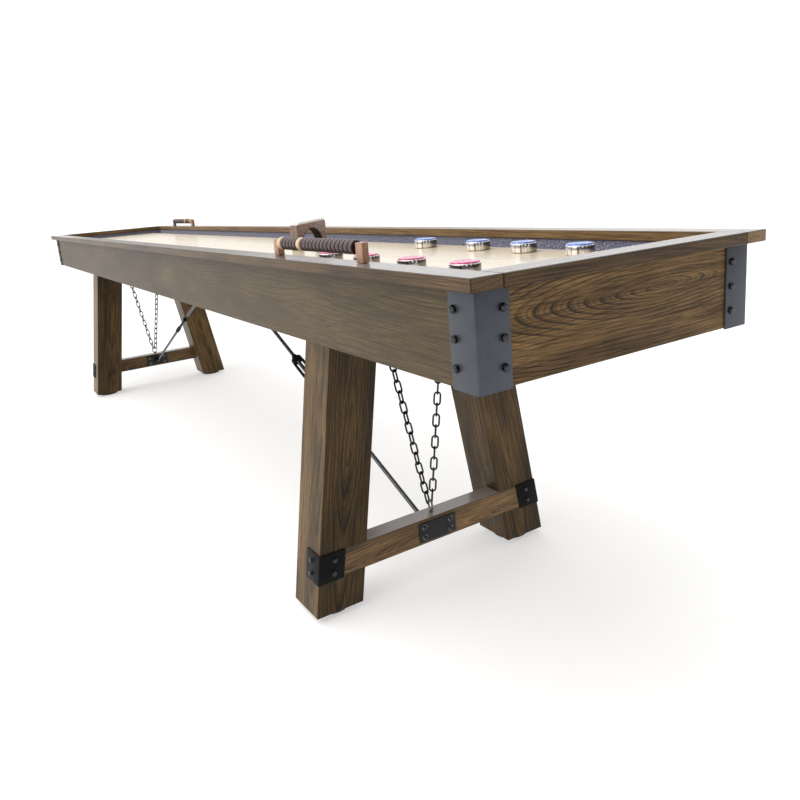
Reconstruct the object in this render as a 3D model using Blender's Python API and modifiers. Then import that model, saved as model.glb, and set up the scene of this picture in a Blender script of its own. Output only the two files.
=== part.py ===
"""Shuffleboard table: a 12 ft wooden cabinet on two A-frame leg sets, modelled piece by piece.

Frame: metres, +Z up, origin on the floor under the middle of the table.
+X runs along the table to its near end, the front long side faces -Y.
"""
from math import atan2, cos, pi, sin, tan

import bmesh
import bpy
from mathutils import Matrix, Vector

# ---- Driving dimensions (metres) -------------------------------------------------------------
GAP = 0.0003                    # clearance between pieces that touch

TABLE_LENGTH = 3.6576           # 144 in over the top rails
TABLE_WIDTH = 0.6096            # 24 in over the top rails
TABLE_HEIGHT = 0.762            # 30 in to the top of the rails

RAIL_WIDTH = 0.052
RAIL_THICKNESS = 0.019
RAIL_OVERHANG = 0.019           # from the corner brackets' outer faces
RAIL_EASE = 0.0012
BOARD_EASE = 0.0008

BOARD_THICKNESS = 0.022         # cabinet side and end boards
BOARD_HEIGHT = 0.1357
BRACKET_STEEL = 0.003
BRACKET_FLANGE = 0.057
BRACKET_BEND = 0.0028
BRACKET_DROP = 0.0018           # how far the corner brackets reach below the boards
BRACKET_BOLT_DROPS = (0.027, 0.067, 0.107)
BRACKET_BOLT_INSET = 0.012      # from the flange's free edge

FLOOR_THICKNESS = 0.022
FLOOR_UNDERSIDE_Z = 0.645

PLAYFIELD_WIDTH = 0.4064        # 16 in
PLAYFIELD_LENGTH = 3.41
PLAYFIELD_THICKNESS = 0.050
PLAYFIELD_TOP_Z = 0.729
CARPET_WALL = 0.003
PLAYFIELD_EASE = 0.0015
GUTTER_FLOOR = 0.0117

LEG_SIZE = 0.111                # square section
LEG_SPLAY = 0.164               # radians, each leg leans in towards the top
LEG_OUTWARD_X = 1.2554          # outward faces of the leg sets
LEG_FOOT_Y = 0.3155             # outer faces at the bottom of the legs
LEG_BOTTOM_Z = 0.012
LEG_EASE = 0.0015

STRETCHER_BOTTOM_Z = 0.0892
STRETCHER_HEIGHT = 0.0592
STRETCHER_DEPTH = 0.0448

STRAP_STEEL = 0.0025            # leg brackets and stretcher plates
STRAP_BOTTOM_Z = 0.0868
STRAP_HEIGHT = 0.0628
STRAP_FLANGE = 0.061
STRAP_BEND = 0.0024
STRAP_BOLT_SHARES = (0.27, 0.73)
STRAP_BOLT_FROM_CORNER = 0.0355
PLATE_WIDTH = 0.100
PLATE_HEIGHT = 0.0455
PLATE_BOLT_Y = 0.035
PLATE_BOLT_Z = 0.0122
WASHER_RADIUS = 0.0066
WASHER_THICKNESS = 0.0012

BOLT_ACROSS_FLATS = 0.0098
BOLT_HEAD_HEIGHT = 0.0052
BOLT_CROWN_SHARE = 0.25         # the chamfered part of a bolt head's height

FOOT_RADIUS = 0.043
FOOT_THICKNESS = LEG_BOTTOM_Z - GAP
FOOT_STEM_RADIUS = 0.006
FOOT_STEM_TOP_Z = 0.040
FOOT_EASE = 0.002
FOOT_INSET = 0.002              # from the middle of the leg's bottom, towards the centre line

EYE_RADIUS = 0.0118             # eye bolt ring, to the wire's centre
EYE_WIRE_RADIUS = 0.0023
EYE_TURN = {"near": 1.36, "far": 0.0}    # radians, the ring's normal from +X
EYE_LIFT = 0.0030               # ring above the stretcher
EYE_SHANK_DEPTH = 0.022
EYE_HOLE_DEPTH = 0.025
EYE_COLLAR = (0.0055, 0.0025)   # radius and thickness

CHAIN_TOP_Y = 0.0850            # chain hooks on the cabinet floor, from the centre line
CHAIN_TOP_INSET = 0.0160        # and from the stretcher's middle, towards the table's middle
CHAIN_FOOT_Y = 0.0060
CHAIN_FOOT_Z = 0.1820
CHAIN_WIRE_RADIUS = 0.0021
CHAIN_LINK_WIDTH = 0.0180
CHAIN_LINKS = 19
CHAIN_HEAD_DROP = 0.0050
CHAIN_PLATE = (0.011, 0.003)    # radius and thickness

ROD_RADIUS = 0.0055
ROD_FOOT_Z = 0.118
ROD_FOOT_OUT = 0.0150           # pivot pin to the stretcher's inward face
ROD_HEAD_X = 0.0600
ROD_HEAD_DROP = 0.0160          # rod's head pivot below the cabinet floor
TURNBUCKLE_START = 0.512        # along the rod from its foot pivot
TURNBUCKLE_LENGTH = 0.196
TURNBUCKLE_BAR_OFFSET = 0.0130
TURNBUCKLE_BAR_RADIUS = 0.0042
TURNBUCKLE_COLLAR = 0.020
TURNBUCKLE_COLLAR_HALF_DEPTH = 0.0085
TURNBUCKLE_COLLAR_EASE = 0.003
TURNBUCKLE_NECK = (0.0085, 0.010)        # radius and length of the round neck outside each collar
TURNBUCKLE_ROLL = {"near": -0.59, "far": 0.79}    # radians, turned about the rod
THREAD_REACH = 0.085            # how far each rod end reaches into the turnbuckle
ROD_EYE_RADIUS = 0.0078
EAR_GAP = 0.0124                # between the clevis ears
EAR_THICKNESS = 0.0030
EAR_RADIUS = 0.0090
PIN_RADIUS = 0.0035
PIN_HALF_LENGTH = 0.0127
HANGER_PLATE = (0.085, 0.021, 0.0034)    # half length, half width and thickness

PUCK_RADIUS = 0.0265            # 2 1/8 in pucks
PUCK_HEIGHT = 0.0212
PUCK_ROW_Y = {"blue": 0.149, "red": -0.121}
PUCK_X = {"blue": (1.070, 1.270, 1.4155, 1.568), "red": (1.100, 1.256, 1.419, 1.577)}

SCORER_LENGTH = 0.351
SCORER_CENTRE_X = 1.3455
SCORER_Y = 0.2713
POST_LENGTH = 0.021
POST_DEPTH = 0.013
POST_HEIGHT = 0.0325
POST_EASE = 0.0012
SCORER_ROD_RADIUS = 0.0025
SCORER_ROD_HEIGHT = 0.0245
SCORER_ROD_INSET = 0.004        # rod end to the post's outer face
BEAD_RADIUS = 0.0122
BEAD_THICKNESS = 0.0143
BEAD_GROOVE = 0.0036
BEAD_EDGE_SHARE = 0.26
BEADS_OUTER = 6                 # the yellow end bead and the dark ones up to the next yellow
BEADS_INNER = 15
BEAD_ROWS = {"near": (("near_outer", BEADS_OUTER), ("near_inner", BEADS_INNER)),
             "far": (("far", BEADS_OUTER + BEADS_INNER),)}

BLOCK_LENGTH = 0.113            # arched hand brush block that stands on the playfield
BLOCK_HEIGHT = 0.072
BLOCK_RISE = 0.006              # its top slopes up by this much
BLOCK_BOARD = 0.0118
BLOCK_CORE = 0.0040
BLOCK_GROOVE_DEPTH = 0.004
BLOCK_HIGH_CORNER = 0.010
BLOCK_LOW_CORNER = 0.012
BLOCK_ARCH_RADIUS = 0.037
BLOCK_ARCH_BASE = 0.017         # the arch's straight feet
BLOCK_PLACE = (0.6754, 0.0311)
BLOCK_TURN = 0.357              # radians

# ---- Derived places --------------------------------------------------------------------------
RAIL_BOTTOM_Z = TABLE_HEIGHT - RAIL_THICKNESS
BRACKET_OUTER_X = TABLE_LENGTH / 2 - RAIL_OVERHANG
BRACKET_OUTER_Y = TABLE_WIDTH / 2 - RAIL_OVERHANG
BOARD_OUTER_X = BRACKET_OUTER_X - BRACKET_STEEL - GAP
BOARD_OUTER_Y = BRACKET_OUTER_Y - BRACKET_STEEL - GAP
BOARD_TOP_Z = RAIL_BOTTOM_Z - GAP
BOARD_BOTTOM_Z = BOARD_TOP_Z - BOARD_HEIGHT
INSIDE_X = BOARD_OUTER_X - BOARD_THICKNESS - GAP
INSIDE_Y = BOARD_OUTER_Y - BOARD_THICKNESS - GAP
PLAYFIELD_BOTTOM_Z = PLAYFIELD_TOP_Z - PLAYFIELD_THICKNESS
GUTTER_FLOOR_TOP_Z = PLAYFIELD_BOTTOM_Z - GAP
GUTTER_BOTTOM_Z = GUTTER_FLOOR_TOP_Z - GUTTER_FLOOR
LEG_TOP_Z = FLOOR_UNDERSIDE_Z - GAP
LEG_CENTRE_X = LEG_OUTWARD_X - LEG_SIZE / 2
STRETCHER_TOP_Z = STRETCHER_BOTTOM_Z + STRETCHER_HEIGHT
STRETCHER_INWARD_X = LEG_OUTWARD_X - STRETCHER_DEPTH
STRETCHER_CENTRE_X = LEG_OUTWARD_X - STRETCHER_DEPTH / 2
PLATE_CENTRE_Z = ROD_FOOT_Z
FOOT_PLACE = (LEG_CENTRE_X, LEG_FOOT_Y - LEG_SIZE / 2 - FOOT_INSET)
ROD_FOOT = Vector((STRETCHER_INWARD_X - ROD_FOOT_OUT, 0, ROD_FOOT_Z))
ROD_HEAD = Vector((ROD_HEAD_X, 0, FLOOR_UNDERSIDE_Z - ROD_HEAD_DROP))
ROD_DIRECTION = (ROD_HEAD - ROD_FOOT).normalized()
CUT_OVERSHOOT = 0.01            # how far cutters reach past the faces they open

ENDS = {"near": 1, "far": -1}
SIDES = {"back": 1, "front": -1}
CORNERS = {f"{end}_{side}": (sx, sy) for end, sx in ENDS.items() for side, sy in SIDES.items()}
BOTH_ENDS = {end: (sx, 1) for end, sx in ENDS.items()}

OAK = ("stained_oak", (0.17, 0.095, 0.050), 0.0, 0.42)
MAPLE = ("maple", (0.80, 0.62, 0.40), 0.0, 0.15)
CARPET = ("carpet", (0.10, 0.11, 0.15), 0.0, 0.95)
STEEL = ("blue_steel", (0.085, 0.10, 0.125), 0.8, 0.45)
BLACK_STEEL = ("black_steel", (0.025, 0.027, 0.030), 0.7, 0.45)
CHROME = ("chrome", (0.75, 0.75, 0.76), 1.0, 0.12)
WALNUT = ("walnut", (0.24, 0.11, 0.065), 0.0, 0.40)
BEADWOOD = ("dark_bead", (0.075, 0.035, 0.032), 0.0, 0.35)
PLYWOOD = ("plywood", (0.36, 0.24, 0.14), 0.0, 0.70)
PAD = ("foot_pad", (0.030, 0.024, 0.022), 0.0, 0.60)


# ---- Helpers ---------------------------------------------------------------------------------
def clear_scene():
    for old in list(bpy.data.objects):
        bpy.data.objects.remove(old, do_unlink=True)


def make_collection(name):
    collection = bpy.data.collections.new(name)
    bpy.context.scene.collection.children.link(collection)
    return collection


def get_material(spec):
    name, colour, metallic, roughness = spec
    material = bpy.data.materials.get(name)
    if material is None:
        material = bpy.data.materials.new(name)
        material.use_nodes = True
        shader = material.node_tree.nodes["Principled BSDF"]
        shader.inputs["Base Color"].default_value = (*colour, 1.0)
        shader.inputs["Metallic"].default_value = metallic
        shader.inputs["Roughness"].default_value = roughness
    return material


def add_object(name, mesh, spec=None, location=(0, 0, 0)):
    piece = bpy.data.objects.new(name, mesh)
    piece.location = location
    TABLE.objects.link(piece)
    if spec is not None:
        mesh.materials.clear()
        mesh.materials.append(get_material(spec))
    return piece


def mesh_from(bm, name):
    mesh = bpy.data.meshes.new(name)
    bm.to_mesh(mesh)
    bm.free()
    return mesh


def box(name, low, high, spec=None, ease=0.0):
    """A box between two corners, with its long edges eased if asked."""
    bm = bmesh.new()
    bmesh.ops.create_cube(bm, size=1.0)
    low, high = Vector(low), Vector(high)
    bmesh.ops.scale(bm, vec=high - low, verts=bm.verts)
    bmesh.ops.translate(bm, vec=(low + high) / 2, verts=bm.verts)
    if ease:
        bmesh.ops.bevel(bm, geom=bm.edges[:], offset=ease, segments=1, affect="EDGES")
    return add_object(name, mesh_from(bm, name), spec)


def cylinder(name, radius, start, end, segments=16, top_radius=None):
    """A cylinder or cone between two points."""
    start, end = Vector(start), Vector(end)
    axis = end - start
    bm = bmesh.new()
    bmesh.ops.create_cone(bm, cap_ends=True, segments=segments, radius1=radius,
                          radius2=radius if top_radius is None else top_radius, depth=axis.length)
    turn = axis.to_track_quat("Z", "Y").to_matrix().to_4x4()
    bmesh.ops.transform(bm, matrix=Matrix.Translation((start + end) / 2) @ turn, verts=bm.verts)
    return add_object(name, mesh_from(bm, name))


def curve_to_piece(name, curve, spec=None, matrix=Matrix.Identity(4)):
    """Turns a filled curve into a closed mesh with welded caps."""
    guide = bpy.data.objects.new(name + "_curve", curve)
    TABLE.objects.link(guide)
    bpy.context.view_layer.update()
    depsgraph = bpy.context.evaluated_depsgraph_get()
    mesh = bpy.data.meshes.new_from_object(guide.evaluated_get(depsgraph))
    bpy.data.objects.remove(guide, do_unlink=True)
    bm = bmesh.new()
    bm.from_mesh(mesh)
    bmesh.ops.remove_doubles(bm, verts=bm.verts, dist=0.00001)
    bmesh.ops.transform(bm, matrix=matrix, verts=bm.verts)
    bm.to_mesh(mesh)
    bm.free()
    return add_object(name, mesh, spec)


def outline_piece(name, outline, thickness, spec=None, matrix=Matrix.Identity(4)):
    """A flat outline in its own XY plane, extruded to a thickness centred on that plane."""
    curve = bpy.data.curves.new(name, "CURVE")
    curve.dimensions = "2D"
    curve.fill_mode = "BOTH"
    curve.extrude = thickness / 2
    spline = curve.splines.new("POLY")
    spline.points.add(len(outline) - 1)
    for point, (x, y) in zip(spline.points, outline):
        point.co = (x, y, 0, 1)
    spline.use_cyclic_u = True
    return curve_to_piece(name, curve, spec, matrix)


def lathe(name, profile, spec, segments, location, rotation=(0, 0, 0)):
    """A (radius, height) profile, run down its outer side from the top, turned about its own Z."""
    count = len(profile)
    edges = [(i, i + 1) for i in range(count - 1)]
    if profile[0][0] > 0:
        edges.append((count - 1, 0))
    mesh = bpy.data.meshes.new(name)
    mesh.from_pydata([(radius, 0, height) for radius, height in profile], edges, [])
    piece = add_object(name, mesh, spec, location)
    piece.rotation_euler = rotation
    screw = piece.modifiers.new("turned", "SCREW")
    screw.steps = segments
    screw.render_steps = segments
    screw.use_merge_vertices = True
    screw.merge_threshold = 0.00001
    return piece


def set_material(piece, spec):
    piece.data.materials.clear()
    piece.data.materials.append(get_material(spec))


def boolean(piece, tools, operation):
    """Adds tools to a piece or cuts them from it, and keeps only the result."""
    for tool in tools:
        change = piece.modifiers.new(operation.lower(), "BOOLEAN")
        change.operation = operation
        change.object = tool
        change.solver = "EXACT"
    bpy.context.view_layer.update()
    depsgraph = bpy.context.evaluated_depsgraph_get()
    mesh = bpy.data.meshes.new_from_object(piece.evaluated_get(depsgraph))
    piece.modifiers.clear()
    piece.data = mesh
    for tool in tools:
        bpy.data.objects.remove(tool, do_unlink=True)
    return piece


def union(piece, tools):
    return boolean(piece, tools, "UNION")


def cut(piece, tools):
    return boolean(piece, tools, "DIFFERENCE")


def shear_leg(piece):
    """Leans a piece built on an upright back leg in towards the table's centre line."""
    lean = Matrix.Identity(4)
    lean[1][2] = -tan(LEG_SPLAY)
    lean[1][3] = LEG_BOTTOM_Z * tan(LEG_SPLAY)
    piece.data.transform(lean)
    return piece


def place_copies(master, name_of, spec, places):
    """Makes each place's object from the near back master, mirrored in X and Y, and drops the master."""
    for label, (sx, sy) in places.items():
        mesh = master.data.copy()
        mesh.transform(Matrix.Diagonal((sx, sy, 1, 1)))
        if sx * sy < 0:
            mesh.flip_normals()
        add_object(name_of.format(label), mesh, spec)
    bpy.data.objects.remove(master, do_unlink=True)


def hex_bolt(start, direction, washer=False):
    """A hexagon bolt head, with a round washer if it has one, standing on a face at start."""
    start, direction = Vector(start), Vector(direction)
    radius = BOLT_ACROSS_FLATS / 2 / cos(pi / 6)
    root = start - direction * 0.001
    rise = start + direction * (BOLT_HEAD_HEIGHT * (1 - BOLT_CROWN_SHARE))
    pieces = [cylinder("bolt_hex", radius, root, rise, 6),
              cylinder("bolt_crown", radius * 0.9, rise - direction * 0.0004,
                       start + direction * BOLT_HEAD_HEIGHT, 6, radius * 0.55)]
    if washer:
        face = start + direction * WASHER_THICKNESS
        pieces.append(cylinder("bolt_washer", WASHER_RADIUS, root, face, 12))
    return pieces


# ---- Cabinet ---------------------------------------------------------------------------------
def build_cabinet():
    for side, sy in SIDES.items():
        ys = sorted((sy * BOARD_OUTER_Y, sy * (BOARD_OUTER_Y - BOARD_THICKNESS)))
        box(f"side_board_{side}", (-BOARD_OUTER_X, ys[0], BOARD_BOTTOM_Z),
            (BOARD_OUTER_X, ys[1], BOARD_TOP_Z), OAK, BOARD_EASE)
    for end, sx in ENDS.items():
        xs = sorted((sx * BOARD_OUTER_X, sx * (BOARD_OUTER_X - BOARD_THICKNESS)))
        box(f"end_board_{end}", (xs[0], -INSIDE_Y, BOARD_BOTTOM_Z), (xs[1], INSIDE_Y, BOARD_TOP_Z),
            OAK, BOARD_EASE)
    box("cabinet_floor", (-INSIDE_X, -INSIDE_Y, FLOOR_UNDERSIDE_Z),
        (INSIDE_X, INSIDE_Y, FLOOR_UNDERSIDE_Z + FLOOR_THICKNESS - GAP), PLYWOOD)


def build_gutter():
    """A shallow carpeted tray: floor and four walls, open at the top, with the playfield inside it."""
    tray = box("gutter_tray", (-INSIDE_X, -INSIDE_Y, GUTTER_BOTTOM_Z),
               (INSIDE_X, INSIDE_Y, BOARD_TOP_Z), CARPET)
    hollow = box("tray_hollow", (CARPET_WALL - INSIDE_X, CARPET_WALL - INSIDE_Y, GUTTER_FLOOR_TOP_Z),
                 (INSIDE_X - CARPET_WALL, INSIDE_Y - CARPET_WALL, TABLE_HEIGHT))
    cut(tray, [hollow])


def build_playfield():
    box("playfield", (-PLAYFIELD_LENGTH / 2, -PLAYFIELD_WIDTH / 2, PLAYFIELD_BOTTOM_Z),
        (PLAYFIELD_LENGTH / 2, PLAYFIELD_WIDTH / 2, PLAYFIELD_TOP_Z), MAPLE, PLAYFIELD_EASE)


def build_rails():
    half_length, half_width = TABLE_LENGTH / 2, TABLE_WIDTH / 2
    for side, sy in SIDES.items():
        ys = sorted((sy * half_width, sy * (half_width - RAIL_WIDTH)))
        box(f"long_rail_{side}", (-half_length, ys[0], RAIL_BOTTOM_Z),
            (half_length, ys[1], TABLE_HEIGHT), OAK, RAIL_EASE)
    reach = half_width - RAIL_WIDTH - GAP
    for end, sx in ENDS.items():
        xs = sorted((sx * half_length, sx * (half_length - RAIL_WIDTH)))
        box(f"end_rail_{end}", (xs[0], -reach, RAIL_BOTTOM_Z),
            (xs[1], reach, TABLE_HEIGHT), OAK, RAIL_EASE)


def angle_outline(outer_x, outer_y, steel, flange, bend, steps=4):
    """Plan of a steel angle whose outer corner is at (outer_x, outer_y), with a rounded bend."""
    corner = [(outer_x - bend + bend * cos(a), outer_y - bend + bend * sin(a))
              for a in (i * pi / 2 / steps for i in range(steps + 1))]
    return [(outer_x - steel, outer_y - steel), (outer_x - steel, outer_y - flange),
            (outer_x, outer_y - flange), *corner, (outer_x - flange, outer_y),
            (outer_x - flange, outer_y - steel)]


def build_corner_brackets():
    low = BOARD_BOTTOM_Z - BRACKET_DROP
    plan = angle_outline(BRACKET_OUTER_X, BRACKET_OUTER_Y, BRACKET_STEEL, BRACKET_FLANGE, BRACKET_BEND)
    lift = Matrix.Translation((0, 0, (low + BOARD_TOP_Z) / 2))
    bracket = outline_piece("bracket_master", plan, BOARD_TOP_Z - low, None, lift)
    bolts = []
    along = BRACKET_FLANGE - BRACKET_BOLT_INSET
    for drop in BRACKET_BOLT_DROPS:
        z = BOARD_TOP_Z - drop
        bolts += hex_bolt((BRACKET_OUTER_X, BRACKET_OUTER_Y - along, z), (1, 0, 0))
        bolts += hex_bolt((BRACKET_OUTER_X - along, BRACKET_OUTER_Y, z), (0, 1, 0))
    union(bracket, bolts)
    place_copies(bracket, "corner_bracket_{}", STEEL, CORNERS)


# ---- Leg sets --------------------------------------------------------------------------------
def build_legs():
    inner = LEG_FOOT_Y - LEG_SIZE
    leg = box("leg_master", (LEG_OUTWARD_X - LEG_SIZE, inner, LEG_BOTTOM_Z),
              (LEG_OUTWARD_X, LEG_FOOT_Y, LEG_TOP_Z), None, LEG_EASE)
    shear_leg(leg)
    notch = box("stretcher_notch", (STRETCHER_INWARD_X - GAP, -0.5, STRETCHER_BOTTOM_Z - GAP),
                (LEG_OUTWARD_X + CUT_OVERSHOOT, 0.5, STRETCHER_TOP_Z + GAP))
    bore = cylinder("stem_bore", FOOT_STEM_RADIUS + GAP, (*FOOT_PLACE, -CUT_OVERSHOOT),
                    (*FOOT_PLACE, FOOT_STEM_TOP_Z + GAP), 16)
    cut(leg, [notch, bore])
    place_copies(leg, "leg_{}", OAK, CORNERS)


def stretcher_half_length(z):
    return LEG_FOOT_Y - (z - LEG_BOTTOM_Z) * tan(LEG_SPLAY)


def build_stretchers():
    low, high = STRETCHER_BOTTOM_Z, STRETCHER_TOP_Z
    foot, head = stretcher_half_length(low), stretcher_half_length(high)
    outline = [(-foot, low), (foot, low), (head, high), (-head, high)]
    stand_up = Matrix(((0, 0, 1, STRETCHER_CENTRE_X), (1, 0, 0, 0), (0, 1, 0, 0), (0, 0, 0, 1)))
    stretcher = outline_piece("stretcher_master", outline, STRETCHER_DEPTH, None, stand_up)
    hole = cylinder("eye_hole", EYE_WIRE_RADIUS + GAP, (STRETCHER_CENTRE_X, 0, high - EYE_HOLE_DEPTH),
                    (STRETCHER_CENTRE_X, 0, high + CUT_OVERSHOOT), 12)
    cut(stretcher, [hole])
    place_copies(stretcher, "stretcher_{}", OAK, BOTH_ENDS)


def build_leg_brackets():
    """Steel angles wrapped round the legs' outer corners over the stretcher's ends."""
    outer_x, outer_y = LEG_OUTWARD_X + GAP + STRAP_STEEL, LEG_FOOT_Y + GAP + STRAP_STEEL
    plan = angle_outline(outer_x, outer_y, STRAP_STEEL, STRAP_FLANGE, STRAP_BEND, steps=2)
    lift = Matrix.Translation((0, 0, STRAP_BOTTOM_Z + STRAP_HEIGHT / 2))
    strap = outline_piece("strap_master", plan, STRAP_HEIGHT, None, lift)
    bolts = []
    for share in STRAP_BOLT_SHARES:
        z = STRAP_BOTTOM_Z + STRAP_HEIGHT * share
        bolts += hex_bolt((outer_x, outer_y - STRAP_BOLT_FROM_CORNER, z), (1, 0, 0))
        bolts += hex_bolt((outer_x - STRAP_BOLT_FROM_CORNER, outer_y, z), (0, 1, 0))
    shear_leg(union(strap, bolts))
    place_copies(strap, "leg_bracket_{}", BLACK_STEEL, CORNERS)


def bolted_plate(name, face_x, out):
    """A steel plate with four washered bolts, standing on the stretcher face at face_x."""
    xs = sorted((face_x + out * GAP, face_x + out * (GAP + STRAP_STEEL)))
    plate = box(name, (xs[0], -PLATE_WIDTH / 2, PLATE_CENTRE_Z - PLATE_HEIGHT / 2),
                (xs[1], PLATE_WIDTH / 2, PLATE_CENTRE_Z + PLATE_HEIGHT / 2))
    bolts = []
    for y in (-PLATE_BOLT_Y, PLATE_BOLT_Y):
        for z in (PLATE_CENTRE_Z - PLATE_BOLT_Z, PLATE_CENTRE_Z + PLATE_BOLT_Z):
            bolts += hex_bolt((face_x + out * (GAP + STRAP_STEEL), y, z), (out, 0, 0), washer=True)
    return union(plate, bolts)


def clevis_ears(pivot, back):
    """Two round-ended ears and their pin round a pivot point, with the ears' roots at the point back."""
    pivot, back = Vector(pivot), Vector(back)
    direction = back - pivot
    steps = 8
    angles = [pi / 2 + i * pi / steps for i in range(steps + 1)]
    outline = [(EAR_RADIUS * cos(a), EAR_RADIUS * sin(a)) for a in angles]
    outline += [(direction.length, -EAR_RADIUS), (direction.length, EAR_RADIUS)]
    stand_up = Matrix(((1, 0, 0, 0), (0, 0, -1, 0), (0, 1, 0, 0), (0, 0, 0, 1)))
    turn = Matrix.Rotation(atan2(direction.z, direction.x), 4, "Z")
    pieces = []
    for side in (-1, 1):
        shift = Vector((0, side * (EAR_GAP + EAR_THICKNESS) / 2, 0))
        place = Matrix.Translation(pivot + shift) @ stand_up @ turn
        pieces.append(outline_piece("ear", outline, EAR_THICKNESS, None, place))
    reach = Vector((0, PIN_HALF_LENGTH, 0))
    pieces.append(cylinder("clevis_pin", PIN_RADIUS, pivot - reach, pivot + reach, 12))
    return pieces


def build_plates():
    outward = bolted_plate("plate_master", LEG_OUTWARD_X, 1)
    place_copies(outward, "stretcher_plate_outward_{}", BLACK_STEEL, BOTH_ENDS)
    inward = bolted_plate("plate_master", STRETCHER_INWARD_X, -1)
    union(inward, clevis_ears(ROD_FOOT, (STRETCHER_INWARD_X - GAP - STRAP_STEEL / 2, 0, ROD_FOOT_Z)))
    place_copies(inward, "stretcher_plate_inward_{}", BLACK_STEEL, BOTH_ENDS)


def build_feet():
    """Round levelling pads with stems that screw up into the legs."""
    r, t, ease = FOOT_RADIUS, FOOT_THICKNESS, FOOT_EASE
    profile = [(0, FOOT_STEM_TOP_Z), (FOOT_STEM_RADIUS, FOOT_STEM_TOP_Z), (FOOT_STEM_RADIUS, t),
               (r - ease, t), (r, t - ease), (r, ease), (r - ease, 0), (0, 0)]
    for corner, (sx, sy) in CORNERS.items():
        lathe(f"levelling_foot_{corner}", profile, PAD, 18, (sx * FOOT_PLACE[0], sy * FOOT_PLACE[1], 0))


# ---- Eye bolts and chains --------------------------------------------------------------------
def build_eye_bolts():
    ring_z = STRETCHER_TOP_Z + GAP + EYE_LIFT + EYE_RADIUS + EYE_WIRE_RADIUS
    collar_radius, collar_thickness = EYE_COLLAR
    for end, (sx, _) in BOTH_ENDS.items():
        x = sx * STRETCHER_CENTRE_X
        bpy.ops.mesh.primitive_torus_add(major_radius=EYE_RADIUS, minor_radius=EYE_WIRE_RADIUS,
                                         major_segments=16, minor_segments=6)
        ring = bpy.context.object
        ring.data.transform(Matrix.Rotation(EYE_TURN[end], 4, "Z") @ Matrix.Rotation(pi / 2, 4, "Y"))
        ring.data.transform(Matrix.Translation((x, 0, ring_z)))
        mesh = ring.data
        bpy.data.objects.remove(ring, do_unlink=True)
        bolt = add_object(f"eye_bolt_{end}", mesh)
        shank = cylinder("shank", EYE_WIRE_RADIUS, (x, 0, STRETCHER_TOP_Z - EYE_SHANK_DEPTH),
                         (x, 0, ring_z - EYE_RADIUS), 12)
        collar = cylinder("collar", collar_radius, (x, 0, STRETCHER_TOP_Z + GAP),
                          (x, 0, STRETCHER_TOP_Z + GAP + collar_thickness), 12)
        union(bolt, [shank, collar])
        set_material(bolt, BLACK_STEEL)


def chain_link(name, length, matrix):
    """One link as a flat solid bar of its outer size, long in X and flat in Y."""
    size = Vector((length, CHAIN_LINK_WIDTH, 2 * CHAIN_WIRE_RADIUS)) / 2
    link = box(name, -size, size)
    link.data.transform(matrix)
    return link


def build_chains():
    """Each chain is one row of joined links, every second one turned a quarter, with a ceiling plate."""
    top_z = FLOOR_UNDERSIDE_Z - GAP
    plate_radius, plate_thickness = CHAIN_PLATE
    for corner, (sx, sy) in CORNERS.items():
        head = Vector((sx * (STRETCHER_CENTRE_X - CHAIN_TOP_INSET), sy * CHAIN_TOP_Y,
                       top_z - CHAIN_HEAD_DROP))
        foot = Vector((sx * STRETCHER_CENTRE_X, sy * CHAIN_FOOT_Y, CHAIN_FOOT_Z))
        down = foot - head
        pitch = down.length / CHAIN_LINKS
        turn = down.to_track_quat("X", "Z").to_matrix().to_4x4()
        links = {0: [], 1: []}
        for i in range(CHAIN_LINKS):
            middle = head + down * ((i + 0.5) / CHAIN_LINKS)
            roll = Matrix.Rotation(pi / 4 + i * pi / 2, 4, "X")
            links[i % 2].append(chain_link(f"link_{i}", pitch + 2 * CHAIN_WIRE_RADIUS,
                                           Matrix.Translation(middle) @ turn @ roll))
        plate = cylinder("chain_plate", plate_radius, (head.x, head.y, top_z - plate_thickness),
                         (head.x, head.y, top_z), 12)
        chain = merge_apart(f"chain_{corner}", links[0] + [plate])
        others = merge_apart("other_links", links[1])
        union(chain, [others])
        set_material(chain, BLACK_STEEL)


def merge_apart(name, pieces):
    """Puts pieces that may touch each other into one object, united."""
    first = pieces[0]
    union(first, pieces[1:])
    mesh = first.data
    bpy.data.objects.remove(first, do_unlink=True)
    return add_object(name, mesh)


# ---- Tie rods --------------------------------------------------------------------------------
def rod_eye(pivot):
    """A flat round eye on the end of a rod."""
    half = Vector((0, EAR_GAP / 2 - GAP, 0))
    return cylinder("rod_eye", ROD_EYE_RADIUS, pivot - half, pivot + half, 16)


def pin_hole(pivot):
    half = Vector((0, EAR_GAP, 0))
    return cylinder("pin_hole", PIN_RADIUS + GAP, pivot - half, pivot + half, 12)


def build_tie_rods():
    lower_end = ROD_FOOT + ROD_DIRECTION * (TURNBUCKLE_START + THREAD_REACH)
    upper_end = ROD_FOOT + ROD_DIRECTION * (TURNBUCKLE_START + TURNBUCKLE_LENGTH - THREAD_REACH)
    for label, pivot, tip in (("lower", ROD_FOOT, lower_end), ("upper", ROD_HEAD, upper_end)):
        away = (tip - pivot).normalized()
        rod = cylinder("rod_master", ROD_RADIUS, pivot + away * (PIN_RADIUS + 0.0015), tip, 12)
        union(rod, [rod_eye(pivot)])
        cut(rod, [pin_hole(pivot)])
        place_copies(rod, f"tie_rod_{label}_{{}}", BLACK_STEEL, BOTH_ENDS)


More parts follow.
